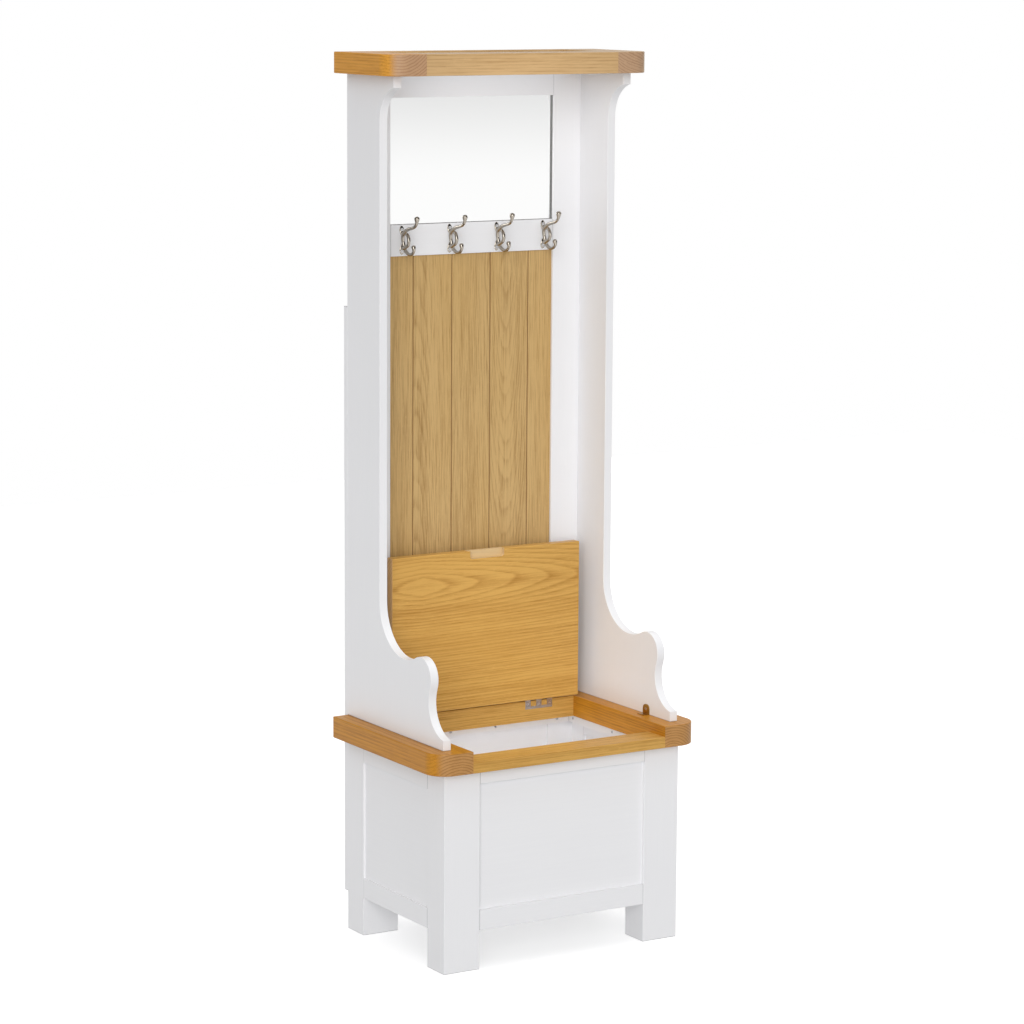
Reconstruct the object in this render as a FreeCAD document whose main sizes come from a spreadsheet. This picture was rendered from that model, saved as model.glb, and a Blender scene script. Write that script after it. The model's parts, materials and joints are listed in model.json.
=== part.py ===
import FreeCAD, Part
import math
import os
import re

import Sketcher
from FreeCAD import Placement, Rotation, Vector

# Hall tree: a white chest on four square feet, an oak seat frame with a lifting lid,
# two scrolled uprights, a framed back with a mirror, hooks and oak boards, and an oak cornice.
# Frame: origin on the floor under the middle of the whole piece, +Z up, -Y to the front,
# +X to the right as seen from the front. The lid stands open.

SIZES = {
    # whole piece
    "total_high": 1905,
    "seat_high": 478,
    "seat_wide": 656,
    "seat_deep": 444,
    "seat_thick": 47,
    "corner_round": 46,
    "arris": 0.8,
    "oak_arris": 1.6,
    "panel_play": 0.5,
    # chest
    "side_overhang": 36,
    "front_overhang": 28,
    "leg_wide": 86,
    "leg_deep": 70,
    "rail_thick": 22,
    "rail_lift": 84,
    "bottom_rail_high": 44,
    "front_top_rail_high": 31,
    "side_top_rail_high": 46,
    "panel_thick": 9,
    "panel_tongue": 8,
    "front_panel_recess": 8,
    "side_panel_recess": 4.5,
    "floor_thick": 12,
    "floor_lift": 16,
    "cleat_wide": 20,
    "cleat_high": 20,
    "cleat_screw_edge": 12,
    "cleat_screw_pitch": 160,
    # seat frame and lid
    "side_rail_wide": 89,
    "front_rail_deep": 65,
    "rear_rail_deep": 77,
    "lid_thick": 22.5,
    "lid_front_inset": 20,
    "lid_side_gap": 1.8,
    "lid_seat_gap": 0.5,
    "pull_wide": 86,
    "pull_deep": 17,
    "pull_hollow": 11,
    "pull_round": 6,
    # lid hinges
    "hinge_gap": 1,
    "pin_back": 3.2,
    "pin_rise": 2.2,
    "pin_radius": 1.3,
    "pin_clearance": 0.06,
    "knuckle_radius": 2.5,
    "knuckle_gap": 0.3,
    "hinge_long": 70,
    "hinge_leaf_margin": 3.7,
    "hinge_leaf_thick": 1.5,
    "hinge_strip_high": 6,
    "hinge_from_middle": 148,
    # uprights
    "upright_thick": 18.5,
    "upright_deep": 141,
    "foot_front_inset": 34,
    "foot_end_high": 22,
    "foot_sweep_radius": 71,
    "knob_radius": 44,
    "knob_from_foot": 95,
    "knob_above_seat": 138,
    "sweep_rise": 134.7,
    "head_deep": 200,
    "head_lip": 25,
    "cove_radius": 73,
    # back frame
    "frame_thick": 24,
    "frame_inset": 7,
    "stile_wide": 69.5,
    "top_rail_high": 53,
    "mirror_high": 269,
    "back_bottom_rail_high": 60,
    "mirror_lip": 10,
    "mirror_thick": 4,
    "backing_thick": 5,
    "rebate": 8,
    "board_lip": 6,
    "board_thick": 10,
    "board_wide": 96.4,
    "board_vee": 1.8,
    "board_tongue_thick": 3,
    "board_tongue_long": 4,
    "board_play": 0.15,
    # cornice
    "cornice_thick": 45,
    "cornice_inset": 5,
    "cornice_deep": 238,
    "cornice_side_wide": 88,
    "cornice_front_deep": 90,
    "cornice_rear_deep": 18,
    "cornice_panel_thick": 9,
    "cornice_panel_lift": 6,
    # coat hooks
    "hook_spacing": 118,
    "hook_below_rail_top": 32,
    "hook_rod_radius": 3,
    "hook_pad_radius": 6,
    "hook_pad_floor": 0.3,
    "hook_rail_margin": 5,
    "hook_top_pad_rise": 22,
    "hook_foot_pad_drop": 24,
    "hook_eye_near": 7,
    "hook_eye_far": 31,
    "hook_cross_out": 14,
    "hook_cross_rise": 15,
    "hook_eye_shoulder": 10,
    "hook_arm_out": 67,
    "hook_arm_rise": 49,
    "hook_arm_elbow": 12,
    "hook_arm_ball": 5.2,
    "hook_crook_out": 54,
    "hook_crook_drop": 30,
    "hook_crook_elbow": 12,
    "hook_crook_tip_rise": 17,
    "hook_crook_ball": 4.6,
    # corner brackets, battens and screws
    "bracket_wide": 24,
    "bracket_high": 22,
    "bracket_foot": 16,
    "bracket_thick": 1.8,
    "bracket_round": 10,
    "bracket_from_front": 125,
    "batten_wide": 45,
    "batten_thick": 15,
    "batten_top": 1366,
    "batten_screw_inset": 60,
    "screw_head_radius": 3.6,
    "screw_head_deep": 2.4,
    "screw_shank_radius": 1.7,
    "screw_long": 12,
    "frame_screw_long": 32,
    "screw_slot_wide": 0.9,
    "screw_slot_long": 4.4,
    "screw_slot_deep": 1.2,
}

# Places worked out from the sizes: each is a formula over sizes and other places.
PLACES = {
    "back_y": "(seat_deep - batten_thick) / 2",
    "front_y": "back_y - seat_deep",
    "seat_under": "seat_high - seat_thick",
    "base_half": "seat_wide / 2 - side_overhang",
    "base_front_y": "front_y + front_overhang",
    "base_back_y": "back_y",
    "seat_inner_half": "seat_wide / 2 - side_rail_wide",
    "rear_rail_front_y": "back_y - rear_rail_deep",
    "upright_inner_half": "base_half - upright_thick",
    "cornice_under": "total_high - cornice_thick",
    "frame_back_y": "back_y - frame_inset",
    "frame_front_y": "frame_back_y - frame_thick",
    "opening_half": "upright_inner_half - stile_wide",
    "foot_deep": "seat_deep - foot_front_inset",
    "knob_from_back": "foot_deep - knob_from_foot",
    "mirror_top": "cornice_under - top_rail_high",
    "mirror_bottom": "mirror_top - mirror_high",
    "hook_rail_high": "hook_below_rail_top + hook_foot_pad_drop + hook_pad_radius + hook_rail_margin",
    "hook_pad_thick": "screw_head_deep + hook_pad_floor",
    "hook_rail_bottom": "mirror_bottom - hook_rail_high",
    "boards_bottom": "seat_high + back_bottom_rail_high",
    "board_front_y": "frame_front_y + board_lip",
    "glass_front_y": "frame_front_y + mirror_lip",
    "pin_y": "rear_rail_front_y + pin_back",
    "pin_z": "seat_high + pin_rise",
    "lid_rear": "pin_back + hinge_gap",
    "lid_half": "seat_inner_half - lid_side_gap",
    "lid_long": "seat_deep - rear_rail_deep - hinge_gap - lid_front_inset",
    "hinge_leaf_high": "lid_thick + pin_rise - hinge_leaf_margin",
    "hook_z": "mirror_bottom - hook_below_rail_top",
    "floor_z": "rail_lift + floor_lift",
}

# Counts, spans and screw places that several sub-parts share.
LEG_SPAN = "2 * base_half - 2 * leg_wide"
SIDE_SPAN = "base_back_y - base_front_y - 2 * leg_deep"
PANEL_REACH = "(panel_tongue - panel_play)"
CLEAT_SCREW_BACK = "base_back_y - leg_deep + cleat_screw_edge"
CLEAT_SCREW_MIDDLE = f"({CLEAT_SCREW_BACK} - cleat_screw_pitch)"
CLEAT_SCREW_FRONT = "base_front_y + leg_deep - cleat_screw_edge"
CLEAT_SCREW_OUTER_X = "(base_half - leg_wide + cleat_screw_edge)"
CLEAT_SCREW_INNER_X = f"({CLEAT_SCREW_OUTER_X} - cleat_screw_pitch)"
BRACKET_FOOT_SCREW = "upright_inner_half - seat_inner_half - bracket_foot / 2"
BATTEN_IN_LEG = {"left": "upright_thick / 2", "right": "leg_wide - upright_thick / 2"}
LEG_BATTEN_SCREWS = ("rail_lift + batten_screw_inset", "seat_under - batten_screw_inset")
UPRIGHT_BATTEN_SCREWS = (
    "seat_high + batten_screw_inset",
    "(seat_high + batten_top) / 2",
    "batten_top - batten_screw_inset",
)
KNUCKLES = 5
RAIL_TURNS = (0, 2, 4)
LID_TURNS = (1, 3)
PITCH = f"(hinge_long / {KNUCKLES})"
HOOKS = 4
HOOK_SCREW_RISES = ("hook_top_pad_rise", "-hook_foot_pad_drop")
HEAD_PLAY = 0.1

doc = FreeCAD.newDocument("HallTree")
sheet = doc.addObject("Spreadsheet::Sheet", "Sizes")
for row, (alias, number) in enumerate(SIZES.items(), start=1):
    sheet.set(f"A{row}", alias)
    sheet.set(f"B{row}", str(number))
    sheet.setAlias(f"B{row}", alias)
doc.recompute()

nodes = []


# ---------------------------------------------------------------- formulas and bindings


def formula(text):
    """A formula over size names and places, as an expression on the spreadsheet."""

    def swap(match):
        word = match.group()
        if word in PLACES:
            return "(" + formula(PLACES[word]) + ")"
        return f"Sizes.{word}" if word in SIZES else word

    return re.sub(r"[a-z][a-z0-9_]*", swap, str(text))


def bind(thing, prop, text):
    thing.setExpression(prop, formula(text))


def read(name):
    """A size as a number, for the shapes worked out in code."""
    return float(getattr(sheet, name))


def place(thing, corner):
    """Bind the three coordinates of a placement to formulas."""
    for axis, text in zip("xyz", corner):
        bind(thing, f"Placement.Base.{axis}", text)


STANDING = Rotation(Vector(-1, 0, 0), 90)


def place_on_lid(thing, corner, turn=STANDING):
    """Stand a piece of the lid upright: its corner is given from the hinge pin with the lid shut."""
    x, y, z = corner
    thing.Placement = Placement(Vector(0, 0, 0), turn)
    place(thing, (x, f"pin_y + ({z})", f"pin_z - ({y})"))


def keep(thing, label):
    """Give a finished piece its name and put it on the list of nodes."""
    thing.Label = label
    nodes.append(thing)


# ---------------------------------------------------------------- joinery helpers


def new_body(label):
    body = doc.addObject("PartDesign::Body", label)
    keep(body, label)
    return body


def plane_of(body, role):
    for feature in body.Origin.OriginFeatures:
        if feature.Role == role:
            return feature
    raise ValueError(role)


def new_sketch(body, role):
    sketch = body.newObject("Sketcher::SketchObject", body.Name + "_outline")
    sketch.AttachmentSupport = (plane_of(body, role), [""])
    sketch.MapMode = "FlatFace"
    return sketch


def rectangle(sketch, along, across):
    """A rectangle with one corner on the sketch's origin and both sides bound."""
    corners = [Vector(0, 0, 0), Vector(50, 0, 0), Vector(50, 30, 0), Vector(0, 30, 0)]
    for start, end in zip(corners, corners[1:] + corners[:1]):
        sketch.addGeometry(Part.LineSegment(start, end))
    for side in range(4):
        sketch.addConstraint(Sketcher.Constraint("Coincident", side, 2, (side + 1) % 4, 1))
    for side in (0, 2):
        sketch.addConstraint(Sketcher.Constraint("Horizontal", side))
    for side in (1, 3):
        sketch.addConstraint(Sketcher.Constraint("Vertical", side))
    sketch.addConstraint(Sketcher.Constraint("Coincident", 0, 1, -1, 1))
    for name, kind, side, text in (("along", "DistanceX", 0, along), ("across", "DistanceY", 1, across)):
        index = sketch.addConstraint(Sketcher.Constraint(kind, side, 1, side, 2, 40.0))
        sketch.renameConstraint(index, name)
        bind(sketch, f"Constraints.{name}", text)


TOUCH = 0.01


def edges_where(shape, wanted):
    return [f"Edge{i}" for i, edge in enumerate(shape.Edges, start=1) if wanted(edge)]


def lengthways(edge):
    return edge.BoundBox.XLength > TOUCH


def soften(body, base, radius, wanted=lambda edge: True):
    """Round over the chosen edges of a body's last feature."""
    doc.recompute()
    fillet = body.newObject("PartDesign::Fillet", body.Name + "_arris")
    fillet.Base = (base, edges_where(base.Shape, wanted))
    bind(fillet, "Radius", radius)
    return fillet


def board(label, size, corner, arris="arris", wanted=lambda edge: True):
    """A planed board with rounded arrises: size along X, Y, Z and its lowest corner."""
    body = new_body(label)
    sketch = new_sketch(body, "XY_Plane")
    rectangle(sketch, size[0], size[1])
    pad = body.newObject("PartDesign::Pad", label + "_pad")
    pad.Profile = sketch
    sketch.Visibility = False
    bind(pad, "Length", size[2])
    if arris:
        soften(body, pad, arris, wanted)
    place(body, corner)
    return body


def block(body, kind, size, corner):
    """Add to or cut from a body by a box, placed in the body's own frame."""
    box = body.newObject(f"PartDesign::{kind}Box", f"{body.Name}_{kind.lower()}")
    for prop, text in zip(("Length", "Width", "Height"), size):
        bind(box, prop, text)
    place(box, corner)
    return box


def cut(body, size, corner):
    return block(body, "Subtractive", size, corner)


TURN_TO = {
    "+X": Rotation(Vector(0, 1, 0), 90),
    "-X": Rotation(Vector(0, 1, 0), -90),
    "+Y": Rotation(Vector(1, 0, 0), -90),
    "-Y": Rotation(Vector(1, 0, 0), 90),
    "+Z": Rotation(),
    "-Z": Rotation(Vector(1, 0, 0), 180),
}


def round_feature(body, kind, radius, length, start, way):
    """Add or cut a cylinder that starts at a point and runs one way."""
    cylinder = body.newObject(f"PartDesign::{kind}Cylinder", f"{body.Name}_{kind.lower()}_round")
    cylinder.Placement = Placement(Vector(0, 0, 0), TURN_TO[way])
    bind(cylinder, "Radius", radius)
    bind(cylinder, "Height", length)
    place(cylinder, start)


def drill(body, start, way, depth):
    """A pilot hole that grips a screw's shank."""
    round_feature(body, "Subtractive", "screw_shank_radius", depth, start, way)


def countersink(body, start, way):
    """A cone that seats a screw head flush, from the face inwards."""
    cone = body.newObject("PartDesign::SubtractiveCone", body.Name + "_countersink")
    cone.Placement = Placement(Vector(0, 0, 0), TURN_TO[way])
    bind(cone, "Radius1", "screw_head_radius")
    bind(cone, "Radius2", "screw_shank_radius")
    bind(cone, "Height", "screw_head_deep")
    place(cone, start)


# ---------------------------------------------------------------- screws


def screw(name, head, way, length):
    """A countersunk wood screw with a cross slot: its head's face centre and the way it points."""
    cone = doc.addObject("Part::Cone", name + "_cone")
    bind(cone, "Radius1", "screw_head_radius")
    bind(cone, "Radius2", "screw_shank_radius")
    bind(cone, "Height", "screw_head_deep")
    shank = doc.addObject("Part::Cylinder", name + "_shank")
    bind(shank, "Radius", "screw_shank_radius")
    bind(shank, "Height", length)
    slots = []
    for along, across in (("screw_slot_long", "screw_slot_wide"), ("screw_slot_wide", "screw_slot_long")):
        slot = doc.addObject("Part::Box", name + "_slot")
        bind(slot, "Length", along)
        bind(slot, "Width", across)
        bind(slot, "Height", "screw_slot_deep")
        place(slot, (f"-{along} / 2", f"-{across} / 2", "0"))
        slots.append(slot)
    solid = doc.addObject("Part::MultiFuse", name + "_solid")
    solid.Shapes = [cone, shank]
    cross = doc.addObject("Part::MultiFuse", name + "_cross")
    cross.Shapes = slots
    made = doc.addObject("Part::Cut", name)
    made.Base = solid
    made.Tool = cross
    made.Placement = Placement(Vector(0, 0, 0), TURN_TO[way])
    place(made, head)
    return made


def screw_group(label, heads, length="screw_long"):
    """All the screws of one kind in one node, each a solid of its own."""
    group = doc.addObject("Part::Compound", label)
    group.Links = [screw(f"{label}_{i}", head, way, length) for i, (head, way) in enumerate(heads, start=1)]
    keep(group, label)


# ---------------------------------------------------------------- chest


def chest_legs():
    """Four square feet that go on up as corner posts: hollow inside, and grooved for the panels."""
    groove_high = "seat_under - rail_lift"
    hollow = ("leg_wide - rail_thick", "leg_deep - rail_thick", "seat_under - floor_z")
    cleat_z = "seat_under - cleat_high / 2"
    grip = "frame_screw_long - cleat_wide"
    for side in ("left", "right"):
        left = side == "left"
        low_x = "-base_half" if left else "base_half - leg_wide"
        inner_x = "leg_wide - panel_tongue" if left else "0"
        hollow_x = "rail_thick" if left else "0"
        wall_x = "rail_thick" if left else "leg_wide - rail_thick"
        side_x = "side_panel_recess" if left else "leg_wide - side_panel_recess - panel_thick"
        outwards = "-X" if left else "+X"
        for end in ("front", "rear"):
            front = end == "front"
            low_y = "base_front_y" if front else "base_back_y - leg_deep"
            face_y = "front_panel_recess" if front else "leg_deep - front_panel_recess - panel_thick"
            inner_y = "leg_deep - panel_tongue" if front else "0"
            leg = board(f"{end}_leg_{side}", ("leg_wide", "leg_deep", "seat_under"), (low_x, low_y, "0"))
            cut(leg, hollow, (hollow_x, "rail_thick" if front else "0", "floor_z"))
            cut(leg, ("panel_tongue", "panel_thick", groove_high), (inner_x, face_y, "rail_lift"))
            cut(leg, ("panel_thick", "panel_tongue", groove_high), (side_x, inner_y, "rail_lift"))
            screw_y = "leg_deep - cleat_screw_edge" if front else "cleat_screw_edge"
            drill(leg, (wall_x, screw_y, cleat_z), outwards, grip)
            if not front:
                screw_x = "leg_wide - cleat_screw_edge" if left else "cleat_screw_edge"
                drill(leg, (screw_x, "leg_deep - rail_thick", cleat_z), "+Y", grip)
                for z in LEG_BATTEN_SCREWS:
                    batten_at = (BATTEN_IN_LEG[side], "leg_deep", z)
                    drill(leg, batten_at, "-Y", "frame_screw_long - batten_thick")


def end_frames():
    """Rails and panel between the two front legs, and the same between the two rear legs."""
    low_x = "-base_half + leg_wide"
    for end in ("front", "rear"):
        front = end == "front"
        top_high = "front_top_rail_high"
        low_y = "base_front_y" if front else "base_back_y - rail_thick"
        groove_y = "front_panel_recess" if front else "rail_thick - front_panel_recess - panel_thick"
        floor_y = "rail_thick - panel_tongue" if front else "0"
        groove = (LEG_SPAN, "panel_thick", "panel_tongue")
        top = board(
            f"{end}_top_rail",
            (LEG_SPAN, "rail_thick", top_high),
            (low_x, low_y, f"seat_under - {top_high}"),
        )
        cut(top, groove, ("0", groove_y, "0"))
        if not front:
            for sign in ("-", "+"):
                x = f"base_half - leg_wide {sign} {CLEAT_SCREW_INNER_X}"
                start = (x, "0", f"{top_high} - cleat_high / 2")
                drill(top, start, "+Y", "frame_screw_long - cleat_wide")
        bottom = board(
            f"{end}_bottom_rail",
            (LEG_SPAN, "rail_thick", "bottom_rail_high"),
            (low_x, low_y, "rail_lift"),
        )
        cut(bottom, groove, ("0", groove_y, "bottom_rail_high - panel_tongue"))
        cut(bottom, (LEG_SPAN, "panel_tongue", "floor_thick"), ("0", floor_y, "floor_lift"))
        board(
            f"{end}_panel",
            (
                f"{LEG_SPAN} + 2 * {PANEL_REACH}",
                "panel_thick",
                f"seat_under - {top_high} - rail_lift - bottom_rail_high + 2 * {PANEL_REACH}",
            ),
            (
                f"{low_x} - {PANEL_REACH}",
                f"{low_y} + {groove_y}",
                f"rail_lift + bottom_rail_high - {PANEL_REACH}",
            ),
            arris=None,
        )


def side_frames():
    """Rails and panel between the front and rear legs on each side."""
    low_y = "base_front_y + leg_deep"
    groove = ("panel_thick", SIDE_SPAN, "panel_tongue")
    for side in ("left", "right"):
        left = side == "left"
        low_x = "-base_half" if left else "base_half - rail_thick"
        groove_x = "side_panel_recess" if left else "rail_thick - side_panel_recess - panel_thick"
        floor_x = "rail_thick - panel_tongue" if left else "0"
        top = board(
            f"side_top_rail_{side}",
            ("rail_thick", SIDE_SPAN, "side_top_rail_high"),
            (low_x, low_y, "seat_under - side_top_rail_high"),
        )
        cut(top, groove, (groove_x, "0", "0"))
        screw_y = f"{CLEAT_SCREW_MIDDLE} - (base_front_y + leg_deep)"
        start = ("rail_thick" if left else "0", screw_y, "side_top_rail_high - cleat_high / 2")
        drill(top, start, "-X" if left else "+X", "frame_screw_long - cleat_wide")
        bottom = board(
            f"side_bottom_rail_{side}",
            ("rail_thick", SIDE_SPAN, "bottom_rail_high"),
            (low_x, low_y, "rail_lift"),
        )
        cut(bottom, groove, (groove_x, "0", "bottom_rail_high - panel_tongue"))
        cut(bottom, ("panel_tongue", SIDE_SPAN, "floor_thick"), (floor_x, "0", "floor_lift"))
        board(
            f"side_panel_{side}",
            (
                "panel_thick",
                f"{SIDE_SPAN} + 2 * {PANEL_REACH}",
                f"seat_under - side_top_rail_high - rail_lift - bottom_rail_high + 2 * {PANEL_REACH}",
            ),
            (
                f"{low_x} + {groove_x}",
                f"{low_y} - {PANEL_REACH}",
                f"rail_lift + bottom_rail_high - {PANEL_REACH}",
            ),
            arris=None,
        )


def chest_floor():
    """The floor board, let into the bottom rails and lying on the four feet."""
    inset = f"(rail_thick - {PANEL_REACH})"
    reach = f"(rail_thick + panel_play - {inset})"
    wide = f"2 * base_half - 2 * {inset}"
    deep = f"base_back_y - base_front_y - 2 * {inset}"
    floor = board(
        "chest_floor",
        (wide, deep, "floor_thick"),
        (f"-base_half + {inset}", f"base_front_y + {inset}", "floor_z"),
        arris=None,
    )
    along_end = (f"leg_wide + panel_play - {inset}", reach, "floor_thick")
    along_side = (reach, f"leg_deep + panel_play - {inset}", "floor_thick")
    for right in (False, True):
        for rear in (False, True):
            for notch in (along_end, along_side):
                x = f"{wide} - ({notch[0]})" if right else "0"
                y = f"{deep} - ({notch[1]})" if rear else "0"
                cut(floor, notch, (x, y, "0"))


def seat_cleats():
    """Battens inside the top rails that hold the seat frame down."""
    low_z = "seat_under - cleat_high"
    half_high = "cleat_high / 2"
    inner_depth = "base_back_y - base_front_y - 2 * rail_thick"
    for side in ("left", "right"):
        left = side == "left"
        low_x = "-base_half + rail_thick" if left else "base_half - rail_thick - cleat_wide"
        low_y = "(base_front_y + rail_thick)"
        cleat = board(
            f"seat_cleat_{side}",
            ("cleat_wide", inner_depth, "cleat_high"),
            (low_x, low_y, low_z),
        )
        for y in (CLEAT_SCREW_FRONT, CLEAT_SCREW_MIDDLE, CLEAT_SCREW_BACK):
            start = ("cleat_wide" if left else "0", f"{y} - {low_y}", half_high)
            way = "-X" if left else "+X"
            drill(cleat, start, way, "cleat_wide")
            countersink(cleat, start, way)
    rear_half = "(base_half - rail_thick - cleat_wide)"
    rear = board(
        "seat_cleat_rear",
        (f"2 * {rear_half}", "cleat_wide", "cleat_high"),
        (f"-{rear_half}", "base_back_y - rail_thick - cleat_wide", low_z),
    )
    for sign in ("-", "+"):
        for x in (CLEAT_SCREW_OUTER_X, CLEAT_SCREW_INNER_X):
            start = (f"{rear_half} {sign} {x}", "0", half_high)
            drill(rear, start, "+Y", "cleat_wide")
            countersink(rear, start, "+Y")


# ---------------------------------------------------------------- seat frame


def rounded_side_rail(label, size, corner, left):
    """A side rail of an oak frame, with its front outer corner rounded."""
    body = board(label, size, corner, arris=None)
    doc.recompute()
    pad = body.Tip
    outer_x = 0 if left else pad.Shape.BoundBox.XMax

    def at_front_outer_corner(edge):
        middle = edge.BoundBox.Center
        return abs(middle.x - outer_x) < TOUCH and abs(middle.y) < TOUCH

    turned = body.newObject("PartDesign::Fillet", label + "_corner")
    turned.Base = (pad, edges_where(pad.Shape, at_front_outer_corner))
    bind(turned, "Radius", "corner_round")
    soften(body, turned, "oak_arris", lambda edge: edge.BoundBox.ZLength < TOUCH)
    return body


def seat_frame():
    """Two full side rails, a lowered front rail that the lid rests on, and a rear rail."""
    inner_span = "2 * seat_inner_half"
    for side in ("left", "right"):
        left = side == "left"
        rail = rounded_side_rail(
            f"seat_rail_{side}",
            ("side_rail_wide", "seat_deep", "seat_thick"),
            ("-seat_wide / 2" if left else "seat_inner_half", "front_y", "seat_under"),
            left,
        )
        x = f"side_rail_wide - ({BRACKET_FOOT_SCREW})" if left else BRACKET_FOOT_SCREW
        drill(rail, (x, "bracket_from_front", "seat_thick"), "-Z", "screw_long")
        countersink(rail, (x, "bracket_from_front", "seat_thick + bracket_thick"), "-Z")
    board(
        "seat_rail_front",
        (inner_span, "front_rail_deep", "seat_thick - lid_thick - lid_seat_gap"),
        ("-seat_inner_half", "front_y", "seat_under"),
        "oak_arris",
        lengthways,
    )
    rear = board(
        "seat_rail_rear",
        (inner_span, "rear_rail_deep", "seat_thick"),
        ("-seat_inner_half", "rear_rail_front_y", "seat_under"),
        "oak_arris",
        lengthways,
    )
    for sign in ("-", "+"):
        hinge_gain(rear, f"seat_inner_half {sign} hinge_from_middle")


def hinge_gain(rail, middle_x):
    """Let the hinge's comb-shaped leaf and its barrel into the rear rail's front face."""
    start_x = f"{middle_x} - hinge_long / 2"
    leaf_foot = "seat_thick + pin_rise - hinge_leaf_high"
    cut(rail, ("hinge_long", "hinge_leaf_thick", "hinge_strip_high"), (start_x, "0", leaf_foot))
    for tongue in RAIL_TURNS:
        x = f"{start_x} + {tongue} * {PITCH}"
        cut(rail, (PITCH, "hinge_leaf_thick", "hinge_leaf_high - pin_rise"), (x, "0", leaf_foot))
        screw_at = (f"{x} + {PITCH} / 2", "0", "seat_thick + pin_rise - hinge_leaf_high / 2")
        drill(rail, screw_at, "+Y", "screw_long")
        countersink(rail, screw_at, "+Y")
    barrel = "knuckle_radius - pin_rise + knuckle_gap"
    deep = "pin_back + knuckle_radius + knuckle_gap"
    corner = (f"{start_x} - knuckle_gap", "0", f"seat_thick - ({barrel})")
    cut(rail, ("hinge_long + 2 * knuckle_gap", deep, barrel), corner)


# ---------------------------------------------------------------- lid and hinges


def lid():
    """The oak lid, drawn shut about the hinge pin, with a finger pull under its front edge."""
    body = board(
        "lid",
        ("2 * lid_half", "lid_long", "lid_thick"),
        ("0", "0", "0"),
        "oak_arris",
    )
    pull = cut(body, ("pull_wide", "pull_deep", "pull_hollow"), ("lid_half - pull_wide / 2", "0", "0"))
    doc.recompute()
    soft = body.newObject("PartDesign::Fillet", "lid_pull_ends")
    soft.Base = (pull, edges_where(pull.Shape, lambda edge: inside_pull(edge, pull.Shape.BoundBox)))
    bind(soft, "Radius", "pull_round")
    plate = ("hinge_long", "hinge_leaf_thick", "hinge_leaf_high - pin_rise")
    for sign in ("-", "+"):
        start_x = f"lid_half {sign} hinge_from_middle - hinge_long / 2"
        leaf_foot = "lid_thick + pin_rise - hinge_leaf_high"
        cut(body, plate, (start_x, "lid_long - hinge_leaf_thick", leaf_foot))
        for tongue in RAIL_TURNS:
            x = f"{start_x} + ({tongue} + 0.5) * {PITCH}"
            screw_at = (x, "lid_long", "lid_thick + pin_rise - hinge_leaf_high / 2")
            drill(body, screw_at, "-Y", "screw_long")
            countersink(body, screw_at, "-Y")
    place_on_lid(body, ("-lid_half", "-lid_rear - lid_long", "-pin_rise - lid_thick"))


def inside_pull(edge, box):
    """The two short upright edges at the back corners of the finger pull."""
    middle = edge.BoundBox.Center
    between = abs(middle.x - box.Center.x) < read("pull_wide") / 2 + 1
    at_back = abs(middle.y - box.YMin - read("pull_deep")) < 0.1
    return edge.BoundBox.ZLength > 1 and edge.BoundBox.XLength < 1 and between and at_back


def knuckles(body, which, hole):
    """The barrel's turns on one leaf, bored for the pin."""
    turn_long = f"{PITCH} - knuckle_gap"
    for k in which:
        start = (f"{k} * {PITCH} + knuckle_gap / 2 - hinge_long / 2", "0", "0")
        round_feature(body, "Additive", "knuckle_radius", turn_long, start, "+X")
    round_feature(body, "Subtractive", hole, "hinge_long", ("-hinge_long / 2", "0", "0"), "+X")


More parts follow.
